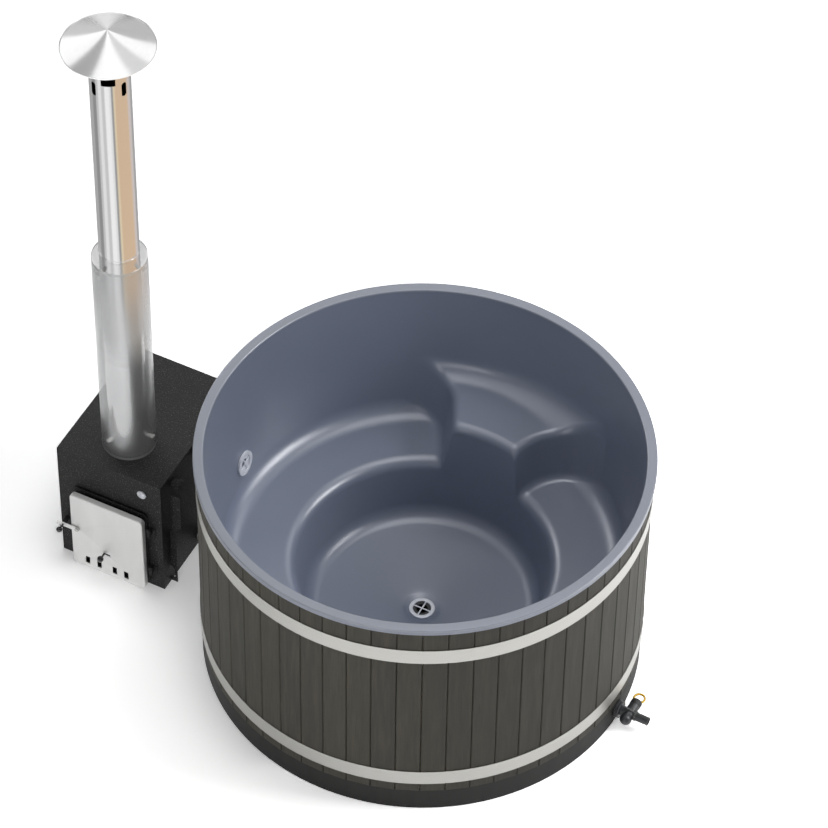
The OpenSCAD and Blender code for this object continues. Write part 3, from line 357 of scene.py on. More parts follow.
def make_stained_wood():
    p = Paint("stained_wood")
    x, y, z = p.axes()
    bearing = p.node("ShaderNodeMath", {"operation": "ARCTAN2"}, {0: y, 1: x}) * (180 / pi)
    number = ((bearing - SEAM) * (PLANKS / 360)).do("FLOOR")
    own = p.node("ShaderNodeTexWhiteNoise", {"noise_dimensions": "1D"}, {"W": number + 0.5})
    own_two = p.node("ShaderNodeTexWhiteNoise", {"noise_dimensions": "1D"}, {"W": number + 90.5})
    across = bearing * (pi / 180 * PLANK_FACE)
    board = p.vector(across + own * 7.0, number * 0.31, z * 0.035 + own_two * 3.0)
    fibres = p.noise(board, 260.0, 4.0, 0.65)
    bands = p.noise(p.vector(across + own * 5.0, number, z * 0.09), 38.0, 3.0, 0.55)
    pores = p.noise(p.vector(across + own * 3.0, number, z * 0.02), 900.0, 2.0, 0.5)
    dark = p.mix(own, tone(63, 61, 55), tone(71, 69, 61))
    warm = p.mix(bands.within(0.42, 0.68, 0.0, 0.6), dark, tone(80, 75, 64))
    streaked = p.mix(fibres.within(0.5, 0.75, 0.0, 0.5), warm, tone(48, 46, 40))
    # Painted shade: planks near this bearing are mixed towards a darker tone.
    painted_shade = (bearing - SHADE_BEARING).do("ABSOLUTE").within(15.0, 60.0, 0.42, 0.0)
    streaked = p.mix(painted_shade, streaked, tone(38, 36, 31))
    height = fibres * 0.6 + pores * 0.4
    return p.finish(Base_Color=streaked, Roughness=0.74 - bands * 0.12,
                    Normal=p.bump(height, 0.0008, 0.5), Specular_IOR_Level=0.3)


stained_wood = make_stained_wood()

# %% [markdown]
# ## Brushed and polished steel
# A hoop is a strip of brushed stainless steel: its scratches run round the tub, so the noise
# is squeezed along Z. The pipe is polished by turning, so its fine lines also run round it,
# but much more faintly. One helper makes both, about any upright axis.

# %% Steel turned about an axis
def make_turned_steel(name, axis, shade, rough, scratch, lines):
    p = Paint(name)
    x, y, z = p.axes(p.place(shift=(-axis[0], -axis[1], 0)))
    angle = p.node("ShaderNodeMath", {"operation": "ARCTAN2"}, {0: y, 1: x})
    brushed = p.noise(p.vector(angle * 0.6, z * lines, 0.0), 6.0, 5.0, 0.7)
    clouds = p.noise(p.place(), 6.0, 3.0)
    colour = p.mix(brushed.within(0.3, 0.7), tone(*shade), tone(*[c + 12 for c in shade]))
    return p.finish(Base_Color=colour, Metallic=1.0,
                    Roughness=rough + brushed * scratch + clouds * 0.04,
                    Normal=p.bump(brushed, 0.00015, 0.3))


FLUE = (-1.12394, 0.43268)
hoop_steel = make_turned_steel("hoop_steel", (0, 0), (153, 152, 148), 0.30, 0.14, 700.0)
pipe_steel = make_turned_steel("pipe_steel", FLUE, (214, 214, 214), 0.05, 0.05, 500.0)
lower_steel = make_turned_steel("lower_steel", FLUE, (204, 204, 205), 0.17, 0.05, 500.0)
cap_steel = make_turned_steel("cap_steel", FLUE, (216, 216, 216), 0.10, 0.06, 300.0)

# %% [markdown]
# ## Painted, cast and moulded finishes
# The stove's casing is powder coated: a black skin with a fine pebble. Tiny light speckles
# are painted into its colour as painted glints of the pebble. Plastics, rubber, wool, bare
# wood and cast iron each get their own grain. Most are small or hidden, so one helper covers them
# with a few numbers.

# %% Everyday finishes
def make_finish(name, dark, light, rough, metal=0.0, scale=30.0, peel=500.0, depth=0.0002,
                stretch=(1, 1, 1), coat=0.0, shine=0.5):
    """Two tones mixed by a cloudy noise, over a fine bump."""
    p = Paint(name)
    at = p.place(scale=stretch)
    clouds = p.noise(at, scale, 4.0, 0.6)
    fine = p.noise(at, peel, 3.0, 0.6)
    colour = p.mix(clouds.within(0.3, 0.7), tone(*dark), tone(*light))
    return p.finish(Base_Color=colour, Metallic=metal, Roughness=rough + clouds * 0.08,
                    Coat_Weight=coat, Normal=p.bump(fine, depth, 0.4), Specular_IOR_Level=shine)


def make_powder_coat():
    p = Paint("powder_coat")
    at = p.place()
    pebble = p.noise(at, 520.0, 2.0)
    # Painted glints: tiny light speckles mixed into the coat's colour everywhere.
    painted_glints = p.noise(at, 260.0, 1.0, 0.6).within(0.60, 0.70)
    clouds = p.noise(at, 9.0, 3.0)
    skin = p.mix(clouds, tone(25, 25, 25), tone(31, 31, 31))
    colour = p.mix(painted_glints, skin, tone(92, 92, 92))
    return p.finish(Base_Color=colour, Roughness=0.52 + pebble * 0.15,
                    Normal=p.bump(pebble, 0.0004, 0.7), Specular_IOR_Level=0.22)


plain = {
    # name: (dark, light, rough, metal, scale, peel, depth, stretch, coat, shine)
    "bolt_steel": ((168, 168, 165), (196, 196, 192), 0.28, 1.0, 200.0),
    "dark_board": ((36, 36, 35), (46, 45, 44), 0.60, 0.0, 12.0, 160.0, 0.0004, (1, 1, 0.2), 0.0, 0.2),
    "bare_wood": ((170, 136, 92), (196, 164, 118), 0.6, 0.0, 40.0, 300.0, 0.0005, (0.15, 0.15, 1)),
    "wool": ((176, 160, 116), (204, 190, 150), 0.95, 0.0, 60.0, 400.0, 0.002),
    "polished_steel": ((232, 235, 242), (242, 244, 250), 0.36, 0.2, 60.0),
    "black_plastic": ((24, 24, 25), (34, 34, 35), 0.34, 0.0, 50.0),
    "grey_plastic": ((38, 40, 42), (50, 52, 55), 0.36, 0.0, 60.0),
    "ball_metal": ((180, 180, 176), (205, 205, 200), 0.2, 1.0, 80.0),
    "orange_plastic": ((255, 200, 40), (255, 214, 90), 0.34, 0.0, 80.0),
    "strap_plastic": ((84, 85, 85), (98, 99, 99), 0.4, 0.0, 80.0),
    "black_rubber": ((22, 22, 22), (33, 33, 33), 0.6, 0.0, 70.0, 300.0, 0.0004),
    "boiler_plate": ((50, 48, 46), (74, 70, 66), 0.6, 0.8, 14.0, 90.0, 0.0006),
    "cast_grate": ((42, 40, 38), (60, 58, 55), 0.75, 0.6, 40.0, 200.0, 0.001),
    "door_steel": ((218, 218, 217), (227, 227, 226), 0.55, 0.8, 5.0, 700.0, 0.0001, (1, 1, 0.25)),
    "seal_rope": ((70, 68, 64), (96, 93, 88), 0.95, 0.0, 160.0, 500.0, 0.001),
    "knob": ((16, 16, 17), (26, 26, 27), 0.12, 0.0, 60.0, 300.0, 0.00005, (1, 1, 1), 0.4),
}
finishes = {"shell": shell_plastic, "stained_wood": stained_wood, "hoop_steel": hoop_steel,
            "chimney_steel": pipe_steel, "lower_steel": lower_steel,
            "black_coat": make_powder_coat(),
            **{name: make_finish(name, *numbers) for name, numbers in plain.items()}}
print("finishes:", len(finishes))

# %% [markdown]
# ## Dressing the CAD solids
# A CAD solid whose shape is right keeps its mesh. Its material slot carries the name of the
# finish in the record, so a lookup gives every solid its own finish. Where a sharp machined
# edge should catch the light, a merged copy with a small Bevel stands for the solid. A few
# solids look different from the rest of their kind: the parts behind the door's holes and the
# drain's cup, both dark as painted shade, the valve's rubber cap, and the lower pipe, whose steel the
# fire has dulled.

# %% Give every solid its finish
# Painted shade: door_lining, damper_plate and damper_guides behind the door's holes, and drain_body
# in the strainer's opening, get dark finishes.
own_finish = {"drain_body": "grey_plastic", "pipe_lower": "lower_steel",
              "door_lining": "black_coat", "damper_plate": "black_coat",
              "damper_guides": "black_coat", "hinge_pins": "black_coat",
              "valve_cap": "black_rubber", "latch_keeper": "black_coat"}
slots = {name: solid.material_slots[0].material.name.split(".")[0] for name, solid in nodes.items()}
for name, solid in nodes.items():
    for place in solid.material_slots:
        place.material = finishes[own_finish.get(name, slots[name])]


def eased(node, width, segments=2, flat=2.0, sharp=32.0):
    """A copy of a CAD solid with its edges eased by a bevel of the given width."""
    solid = nodes[node]
    mesh = solid.data.copy()
    bm = bmesh.new()
    bm.from_mesh(mesh)
    bmesh.ops.remove_doubles(bm, verts=bm.verts, dist=1e-5)
    bmesh.ops.dissolve_limit(bm, angle_limit=radians(flat), verts=bm.verts, edges=bm.edges)
    bm.to_mesh(mesh)
    bm.free()
    if "custom_normal" in mesh.attributes:
        mesh.attributes.remove(mesh.attributes["custom_normal"])
    mesh.shade_smooth()
    mesh.set_sharp_from_angle(angle=radians(sharp))
    piece = bpy.data.objects.new(node + "_eased", mesh)
    bpy.context.scene.collection.objects.link(piece)
    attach(piece, solid["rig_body"])
    bevel = piece.modifiers.new("eased", "BEVEL")
    bevel.width, bevel.segments = width, segments
    bevel.limit_method, bevel.angle_limit = "ANGLE", radians(sharp)
    bevel.harden_normals = True
    bevel.use_clamp_overlap = True
    return finished(piece, solid.material_slots[0].material, [node])


eased_nodes = {"staves": 0.0008, "hoop_bolts": 0.0008, "plinth_ring": 0.002,
               "heater_casing": 0.0015, "side_bracket": 0.001, "side_port": 0.0015,
               "front_plug": 0.0015, "hinge_brackets": 0.0008, "hinge_knuckles": 0.001,
               "latch_bar": 0.0008,
               "wall_flange": 0.0015, "lock_nut": 0.0015, "valve_body": 0.0012, "valve_cap": 0.0015,
               "return_cover": 0.0012, "latch_keeper": 0.0008}
for node, width in eased_nodes.items():
    eased(node, width)
print("eased copies:", len(eased_nodes))

# %% [markdown]
# ## The moulded liner
# The liner is turned about the tub's axis, except for the entry step, which lifts the bench
# by 210 mm over a sector. So each column of the grid is a section of the tub whose bench
# has its own height, and the columns crowd together on the step's two sides, where that
# height climbs along a curve with a rounding at its foot and at its top.

# %% The climb of the step's side
BENCH, STEP_TOP = 0.440, 0.650
SIDE_DRAFT = radians(80)
SIDE_ROUND = 0.036


def side_climb(steps=9):
    """Sideways distance and height along a step side: an arc, a steep line and an arc."""
    a = np.linspace(0, SIDE_DRAFT, steps)
    arc_x, arc_z = SIDE_ROUND * np.sin(a), SIDE_ROUND * (1 - np.cos(a))
    rise = STEP_TOP - BENCH
    flank = (rise - 2 * arc_z[-1]) / tan(SIDE_DRAFT)
    half = arc_x[-1] + flank / 2
    t = np.linspace(0, 1, 10)[1:-1]
    lower_x, lower_z = arc_x - half, arc_z
    line_x = lower_x[-1] + t * flank
    line_z = lower_z[-1] + t * (rise - 2 * arc_z[-1])
    return (np.concatenate([lower_x, line_x, -lower_x[::-1]]),
            np.concatenate([lower_z, line_z, rise - lower_z[::-1]]))


climb_x, climb_z = side_climb()
print("step side is", round(float(climb_x[-1] - climb_x[0]) * 1000, 1), "mm wide")

# %% Columns of the liner
EDGE_RADIUS, WALL_FOOT = 0.480, 0.74
RIGHT_SIDE, LEFT_SIDE = radians(44.5), radians(80.0)
RIGHT_ROUND, LEFT_ROUND = 0.23, 0.145
RIGHT_FADE, LEFT_FADE = radians(8), radians(128)
LEFT_OFF_AXIS = 0.084
right_columns = RIGHT_SIDE + climb_x / EDGE_RADIUS
left_columns = LEFT_SIDE - climb_x[::-1] / EDGE_RADIUS
on_step = np.linspace(right_columns[-1], left_columns[0], 42)[1:-1]
round_bench = np.linspace(left_columns[-1], right_columns[0] + 2 * pi, 324)[1:-1]
column_bearing = np.concatenate([right_columns, on_step, left_columns, round_bench])
column_height = BENCH + np.concatenate([climb_z, np.full(on_step.size, STEP_TOP - BENCH),
                                        climb_z[::-1], np.zeros(round_bench.size)])
print("columns:", column_bearing.size)


def fade(bearing, inner, outer):
    """1 at the inner bearing and beyond it, easing to 0 at the outer one."""
    t = np.clip((bearing - outer) / (inner - outer), 0, 1)
    return t * t * (3 - 2 * t)


def warped_bearing(radius, wall):
    """The bearing of each column at each radius. A step side keeps its width in metres, its
    left side runs parallel to the Y axis, and both sides flare out by e = R - sqrt(R^2 -
    (R - t)^2) where they come within t of the wall, each with its own R."""
    r = np.clip(radius, EDGE_RADIUS, WALL_FOOT)
    left_flare, right_flare = (
        big - np.sqrt(big**2 - (big - np.clip(wall - radius, 0.0002, big)) ** 2)
        for big in (LEFT_ROUND, RIGHT_ROUND))
    bearing = np.where(column_bearing > 1.5 * pi, column_bearing - 2 * pi, column_bearing)
    half = climb_x[-1]
    out = column_bearing + np.zeros_like(radius)
    left_middle = np.arccos(np.clip(LEFT_OFF_AXIS / r, -1, 1))
    d = np.clip((bearing - LEFT_SIDE) * EDGE_RADIUS, -half, half)
    weight = np.where(bearing < LEFT_SIDE,
                      fade(bearing, LEFT_SIDE - half / EDGE_RADIUS, right_columns[-1]),
                      fade(bearing, left_columns[-1], LEFT_FADE))
    narrower = 1 / r - 1 / EDGE_RADIUS
    out = out + weight * (left_middle - LEFT_SIDE + left_flare / r + d * narrower)
    d = np.clip((bearing - RIGHT_SIDE) * EDGE_RADIUS, -half, half)
    weight = np.where(bearing > RIGHT_SIDE,
                      fade(bearing, RIGHT_SIDE + half / EDGE_RADIUS, left_columns[0]),
                      fade(bearing, right_columns[0], RIGHT_FADE))
    return out + weight * (-right_flare / r + d * narrower)


# %% [markdown]
# The section runs from the drain over the floor, up the footwell, over the bench's rounded
# lip, along the bench, up the wall, over the rim and down its lip. Each corner gets its arc,
# and a thin back skin closes the form, so the plastic has a real thickness.

# %% Section of the liner
def pair(r, z):
    """Radius and height of a point for every column."""
    return np.stack(np.broadcast_arrays(np.asarray(r, float), np.asarray(z, float),
                                        np.zeros(column_height.size))[:2], -1)


def wall_radius(z):
    """The wall leans outwards from the bench to the rim."""
    return 0.752 + 0.098684 * (z - BENCH)


DRAIN_HOLE, DRAIN_SEAT, DISH_R = 0.0263, 0.0515, 0.077
SEAT_Z, FLOOR_Z = 0.140, 0.150
RIM_IN, RIM_OUT, RIM_TOP, RIM_LOW, PLASTIC = 0.812, 0.850, 1.048, 1.026, 0.006
lift = (column_height - BENCH) / (STEP_TOP - BENCH)
lip_corner = pair(0.482 + 0.007 * lift, column_height)
lip_way = unit(pair(0.042 / 0.290 * (1 - lift) + 0.007 / 0.210 * lift, 1.0))
foot_corner = pair(wall_radius(column_height), column_height)
drain_seat, dish_edge = pair(DRAIN_SEAT, SEAT_Z), pair(DISH_R, FLOOR_Z)
floor_corner = pair(0.442, 0.184)
rim_corner, rim_nose, rim_end = pair(RIM_IN, RIM_TOP), pair(RIM_OUT, RIM_TOP), pair(RIM_OUT, RIM_LOW)
floor_arc = arc_corner(dish_edge, floor_corner, pair(0.482, BENCH), 0.070, 16)
lip_arc = arc_corner(lip_corner - lip_way * 0.1, lip_corner, foot_corner, 0.050 - 0.014 * lift, 14)
right_end = 1 - np.clip((column_bearing - right_columns[-1]) / radians(16), 0, 1)
foot_arc = arc_corner(lip_corner, foot_corner, rim_corner, 0.080 + lift * 0.05 * right_end, 18)
rim_arc = arc_corner(foot_corner, rim_corner, rim_nose, 0.006, 5)
nose_arc = arc_corner(rim_corner, rim_nose, rim_end, 0.004, 4)
kink = pair(0.4746, 0.388)
wet_rows = np.concatenate([
    [pair(DRAIN_HOLE, SEAT_Z), drain_seat], line(drain_seat, dish_edge, 3, False), [dish_edge],
    line(dish_edge, floor_arc[0], 14, False), floor_arc,
    line(floor_arc[-1], kink, 6, False), [kink], line(kink, lip_arc[0], 7, False), lip_arc,
    line(lip_arc[-1], foot_arc[0], 24, False), foot_arc,
    line(foot_arc[-1], rim_arc[0], 12, False), rim_arc, nose_arc, [rim_end]])
under_rim = np.stack([pair(RIM_OUT - PLASTIC, RIM_LOW), pair(RIM_OUT - PLASTIC, RIM_TOP - PLASTIC),
                      pair(RIM_IN + PLASTIC, RIM_TOP - PLASTIC)])
RIM_ROWS = 12
back_rows = wet_rows[:-RIM_ROWS][::-3] + np.array([PLASTIC, -PLASTIC])
section = np.concatenate([wet_rows, under_rim, back_rows])
wall = wall_radius(np.maximum(section[..., 1], column_height))
bearings = warped_bearing(section[..., 0], wall)
points = np.stack([section[..., 0] * np.cos(bearings), section[..., 0] * np.sin(bearings),
                   section[..., 1]], -1)
quads = grid_faces(*points.shape[:2], close_rows=True, close_columns=True)
liner = mesh_piece("moulded_liner", points.reshape(-1, 3), quads, "tub", 60.0)
faces_outwards(liner)
liner.modifiers.new("even_shading", "WEIGHTED_NORMAL").keep_sharp = True
finished(liner, shell_plastic, ["liner"])
print("liner rows and columns:", points.shape[:2], "quads:", len(quads))

# %% [markdown]
# ## The rain cap
# A cone of thin sheet with a rolled rim keeps rain out of the pipe. It is a profile turned
# about the pipe's axis: the top skin, a small rolled bead at the rim and the under skin.

# %% Turned pieces
def turned(name, profile, axis, columns=128, body="tub", smooth=40.0):
    """Carries a closed profile of (radius, height) points round an upright axis."""
    profile = np.asarray(profile, float)
    a = np.arange(columns) * 2 * pi / columns
    r, z = profile[:, :1], profile[:, 1:]
    at = np.stack([axis[0] + r * np.cos(a), axis[1] + r * np.sin(a), z + 0 * a], -1)
    quads = grid_faces(len(profile), columns, True, True)
    return faces_outwards(mesh_piece(name, at.reshape(-1, 3), quads, body, smooth))


def bead(middle, radius, start, end, steps=8):
    """Points on a small round bead in the profile's plane, from one angle to another."""
    a = np.radians(np.linspace(start, end, steps))
    return np.stack([middle[0] + radius * np.cos(a), middle[1] + radius * np.sin(a)], -1)


# %% Rain cap
CAP_R, CAP_Z, CAP_RISE, CAP_SHEET = 0.1715, 2.633, 0.079, 0.0016
slope = CAP_RISE / CAP_R
top_r = np.linspace(0.0006, CAP_R - 0.004, 16)
top_skin = np.stack([top_r, CAP_Z + CAP_RISE - slope * top_r], -1)
under_skin = np.stack([top_r[::-1], CAP_Z + CAP_RISE - slope * top_r[::-1] - CAP_SHEET], -1)
rolled = bead((CAP_R - 0.0024, CAP_Z + 0.0024), 0.0024, 75, -165, 10)
rain_cap = turned("rain_cap_cone", np.concatenate([top_skin, rolled, under_skin]), FLUE, 160)
finished(rain_cap, cap_steel, ["rain_cap"])
print("cap top at", round(float(top_skin[0, 1]), 4))

# %% [markdown]
# ## The strainer in the floor
# The drain is covered by a pale ring with a cross of thin bars. The ring is turned from a
# rounded section. Each bar is one small rounded section carried along a straight line, and
# its two ends are hidden inside the ring.

# %% Strainer
DRAIN_OPEN, DRAIN_R, DRAIN_LOW, DRAIN_TOP = 0.0345, 0.0492, 0.1405, 0.1478
SHOULDER, BAR_Z, BAR_WIDE, BAR_HIGH = 0.0022, 0.1447, 0.0058, 0.0040
a = np.radians(np.linspace(0, 90, 6))
shoulder = np.stack([np.cos(a), np.sin(a)], -1) * SHOULDER
ring_section = np.concatenate([
    [[DRAIN_OPEN, DRAIN_LOW]],
    shoulder * [-1, 1] + [DRAIN_OPEN + SHOULDER, DRAIN_TOP - SHOULDER],
    (shoulder + [DRAIN_R - SHOULDER, DRAIN_TOP - SHOULDER])[::-1],
    [[DRAIN_R, DRAIN_LOW]]])
drain_ring = turned("drain_ring", ring_section, (0, 0), 96)
finished(drain_ring, finishes["polished_steel"], ["drain_cover"])


def round_bar(name, start, end, wide, high, body="tub", steps=16):
    """A superellipse |x/w|^3 + |z/h|^3 = 1 carried from start to end, with flat ends."""
    start, end = np.array(start, float), np.array(end, float)
    along = unit(end - start)
    side = unit(np.cross([0, 0, 1.0], along))
    a = np.arange(steps) * 2 * pi / steps
    x = wide / 2 * np.sign(np.cos(a)) * np.abs(np.cos(a)) ** (2 / 3)
    z = high / 2 * np.sign(np.sin(a)) * np.abs(np.sin(a)) ** (2 / 3)
    loop = x[:, None] * side + z[:, None] * np.cross(along, side)
    at = np.stack([start + loop, end + loop])
    caps = [np.arange(steps)[::-1], np.arange(steps) + steps]
    quads = grid_faces(2, steps, False, True)
    return faces_outwards(mesh_piece(name, at.reshape(-1, 3), quads, body, 50.0, caps))


for number, bearing in enumerate((64, 154)):
    reach = np.array([cos(radians(bearing)), sin(radians(bearing)), 0]) * (DRAIN_OPEN + 0.002)
    level = np.array([0, 0, BAR_Z])
    high = BAR_HIGH + 0.0004 * number
    cross = round_bar(f"drain_bar_{number}", level - reach, level + reach, BAR_WIDE, high)
    finished(cross, finishes["polished_steel"])
print("strainer opening in mm:", round(2000 * DRAIN_OPEN, 1))

# %% [markdown]
# ## The perforated heat guard
# A sleeve of perforated sheet stands round the hot pipe. Its holes are only a few
# millimetres wide, far too many to model, so the material lets light through them: Alpha is
# 0 inside each round hole of a staggered grid that is wrapped round the sleeve. Reflections
# look past the sleeve, or the pipe inside it would mirror only the sleeve's dark inside.

# %% Perforated sheet
GUARD_R, GUARD_LOW, GUARD_HIGH = 0.1035, 0.588, 1.600
GUARD_IN, GUARD_OUT = 0.10315, 0.10415
HOLES_ROUND, ROW_PITCH, HOLE_R, PLAIN_EDGE = 130, 0.0043, 0.0020, 0.012


def make_perforated_sheet():
    p = Paint("perforated_sheet")
    x, y, z = p.axes(p.place(shift=(-FLUE[0], -FLUE[1], 0)))
    angle = p.node("ShaderNodeMath", {"operation": "ARCTAN2"}, {0: y, 1: x})
    u = angle * (HOLES_ROUND / (2 * pi)) + 500.0
    v = z / ROW_PITCH
    u = u + v.do("FLOOR").do("MODULO", 2.0) * 0.5
    du = (u.do("FRACT") - 0.5) * (2 * pi * GUARD_R / HOLES_ROUND)
    dv = (v.do("FRACT") - 0.5) * ROW_PITCH
    distance = (du * du + dv * dv) ** 0.5
    inside = (z > GUARD_LOW + PLAIN_EDGE) * (z < GUARD_HIGH - PLAIN_EDGE)
    solid = 1.0 - (distance < HOLE_R) * inside
    clouds = p.noise(p.place(), 12.0, 3.0)
    colour = p.mix(clouds, tone(196, 197, 198), tone(212, 213, 214))
    return p.finish(Base_Color=colour, Metallic=0.55, Roughness=0.3, Alpha=solid)


perforated_sheet = make_perforated_sheet()
heights = np.linspace(GUARD_LOW, GUARD_HIGH, 30)
sleeve = np.concatenate([np.stack([np.full(heights.size, GUARD_OUT), heights], -1),
                         np.stack([np.full(heights.size, GUARD_IN), heights[::-1]], -1)])
guard = turned("heat_guard_sleeve", sleeve, FLUE, 144)
guard.visible_glossy = False
finished(guard, perforated_sheet, ["heat_guard"])
rolled = bead((0.1030, GUARD_HIGH - 0.0012), 0.0012, 0, 330, 12)
rim_ring = turned("guard_rim", rolled, FLUE, 144)
finished(rim_ring, cap_steel)
print("guard from", GUARD_LOW, "to", GUARD_HIGH)

# %% [markdown]
# ## The stove's door
# The door is a shallow pan of stainless sheet: a flat front whose edges are bent back with
# a soft rounding. The bend is a profile carried round a rounded rectangle, and the front is a
# flat filled curve with its air holes, its stem slot and its pivot hole left open. A thin
# plate, dark as painted shade, closes the pan from behind.

# %% The stove's own axes
STOVE_X = np.array([0.89726, -0.44151, 0.0])
STOVE_Y = np.array([0.44151, 0.89726, 0.0])
STOVE_O = np.array([-0.99402, 0.18598, 0.0])


def stove(points):
    """Points given along the stove's own x, y and z, placed in the frame."""
    points = np.asarray(points, float)
    x, y, z = points[..., :1], points[..., 1:2], points[..., 2:]
    return STOVE_O + x * STOVE_X + y * STOVE_Y + z * [0, 0, 1.0]


def rounded_loop(x0, x1, z0, z1, radius, steps=8):
    """Points and outward directions round a rectangle with round corners, anticlockwise."""
    a = np.radians(np.linspace(0, 90, steps + 1))
    corners = [(x1 - radius, z1 - radius, 0), (x0 + radius, z1 - radius, 90),
               (x0 + radius, z0 + radius, 180), (x1 - radius, z0 + radius, 270)]
    turns = [a + radians(c[2]) for c in corners]
    out = np.concatenate([np.stack([np.cos(t), np.sin(t)], -1) for t in turns])
    middle = np.concatenate([np.tile([c[0], c[1]], (steps + 1, 1)) for c in corners])
    return middle + radius * out, out


# %% Door pan
DOOR = (-0.3800, -0.0620, 0.008, 0.401)
FRONT, BACK, BEND, SHEET = -0.045, -0.022, 0.005, 0.002
loop, outward = rounded_loop(*DOOR, 0.018)
a = np.radians(np.linspace(0, 90, 9))
quarter = np.stack([np.cos(a), -np.sin(a)], -1)
outer = [-BEND, FRONT + BEND] + BEND * quarter
inner = [-BEND, FRONT + BEND] + (BEND - SHEET) * quarter[::-1]
bend_profile = np.concatenate([[[0, BACK]], outer, inner, [[-SHEET, BACK]]])
ring = np.concatenate([loop[None] + outward[None] * bend_profile[:, None, :1],
                       np.broadcast_to(bend_profile[:, None, 1:],
                                       (len(bend_profile), len(loop), 1))], -1)
door_rim = mesh_piece("door_rim", stove(ring[..., [0, 2, 1]]).reshape(-1, 3),
                      grid_faces(*ring.shape[:2], True, True), "door", 50.0)
faces_outwards(door_rim)
door_rim.modifiers.new("even_shading", "WEIGHTED_NORMAL").keep_sharp = True
finished(door_rim, finishes["door_steel"], ["door_panel"])


def flat_plate(name, outline, holes, front, thickness, body, edge=0.0003):
    """A plate from closed outlines in the stove's x and z, as a filled flat curve."""
    curve = bpy.data.curves.new(name, "CURVE")
    curve.dimensions, curve.fill_mode = "2D", "BOTH"
    curve.extrude, curve.bevel_depth, curve.offset = thickness / 2 - edge, edge, -edge
    curve.bevel_resolution = 1
    for loop_points in [outline, *holes]:
        spline = curve.splines.new("POLY")
        spline.points.add(len(loop_points) - 1)
        flat = np.column_stack([loop_points, np.zeros(len(loop_points)), np.ones(len(loop_points))])
        spline.points.foreach_set("co", flat.ravel().astype(np.float32))
        spline.use_cyclic_u = True
    shape = bpy.data.objects.new(name + "_curve", curve)
    bpy.context.scene.collection.objects.link(shape)
    bpy.context.view_layer.update()
    mesh = bpy.data.meshes.new_from_object(shape)
    bpy.data.objects.remove(shape)
    co = np.empty(len(mesh.vertices) * 3, np.float32)
    mesh.vertices.foreach_get("co", co)
    co = co.reshape(-1, 3)
    at = stove(np.stack([co[:, 0], front + thickness / 2 - co[:, 2], co[:, 1]], -1))
    mesh.vertices.foreach_set("co", at.ravel().astype(np.float32))
    mesh.name = name
    plate = bpy.data.objects.new(name, mesh)
    bpy.context.scene.collection.objects.link(plate)
    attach(plate, body)
    faces_outwards(plate)
    mesh.shade_smooth()
    mesh.set_sharp_from_angle(angle=radians(30))
    return plate


def circle(x, z, r, steps=32):
    """Points round a circle in the stove's x and z."""
    a = np.arange(steps) * 2 * pi / steps
    return np.stack([x + r * np.cos(a), z + r * np.sin(a)], -1)


def door_outline(margin, radius):
    """The door's rounded rectangle, drawn in by a margin."""
    x0, x1, z0, z1 = DOOR
    return rounded_loop(x0 + margin, x1 - margin, z0 + margin, z1 - margin, radius)[0]


BACK_SHEET, HALF_HOLE = 0.001, 0.0095
air_holes = [rounded_loop(x - HALF_HOLE, x + HALF_HOLE, 0.033, 0.071, 0.0006, 2)[0]
             for x in (-0.313, -0.262, -0.194, -0.143)]
stem_slot = rounded_loop(-0.2416, -0.2104, 0.1254, 0.1346, 0.0045, 6)[0]
pivot_hole = circle(-0.350, 0.218, 0.00505)
door_front = flat_plate("door_front", door_outline(BEND, 0.012),
                        [*air_holes, stem_slot, pivot_hole], FRONT, SHEET, "door")
finished(door_front, finishes["door_steel"])
# Painted shade: the back plate is dark so that the door's holes look black.
door_back = flat_plate("door_back", door_outline(SHEET, 0.016), [pivot_hole],
                       BACK - BACK_SHEET, BACK_SHEET, "door")
finished(door_back, finishes["black_coat"])
print("door front faces:", len(door_front.data.polygons))

# %% [markdown]
# ## Light and floor
# Plain soft studio light: one large lamp high on the right draws the form, a wide one above
# lights the floor of the tub, and a low one in front opens the shadows of the planks. Five
# more lamps are seen by reflections alone. They put the long soft lines on the roundings of
# the plastic. The floor is a plain pale sheet. For the camera and for reflections it is
# lifted to white, and so it keeps the object's shadow but needs no extra light. Its far part
# glows more, so that it is white from every side. Between the stove and the tub, where both
# stand close, a painted contact shadow makes it a little darker.

# %% Floor
PALE, CONTACT_SHADE, LIFTED = (0.8,) * 3, (0.8,) * 3, (2.3,) * 3
FLOOR_HALF, FLOOR_DOWN = 30.0, 0.0005


def square(x, y, half, z):
    """The four corners of a level square."""
    return [(x + half * u, y + half * v, z) for u, v in ((-1, -1), (1, -1), (1, 1), (-1, 1))]


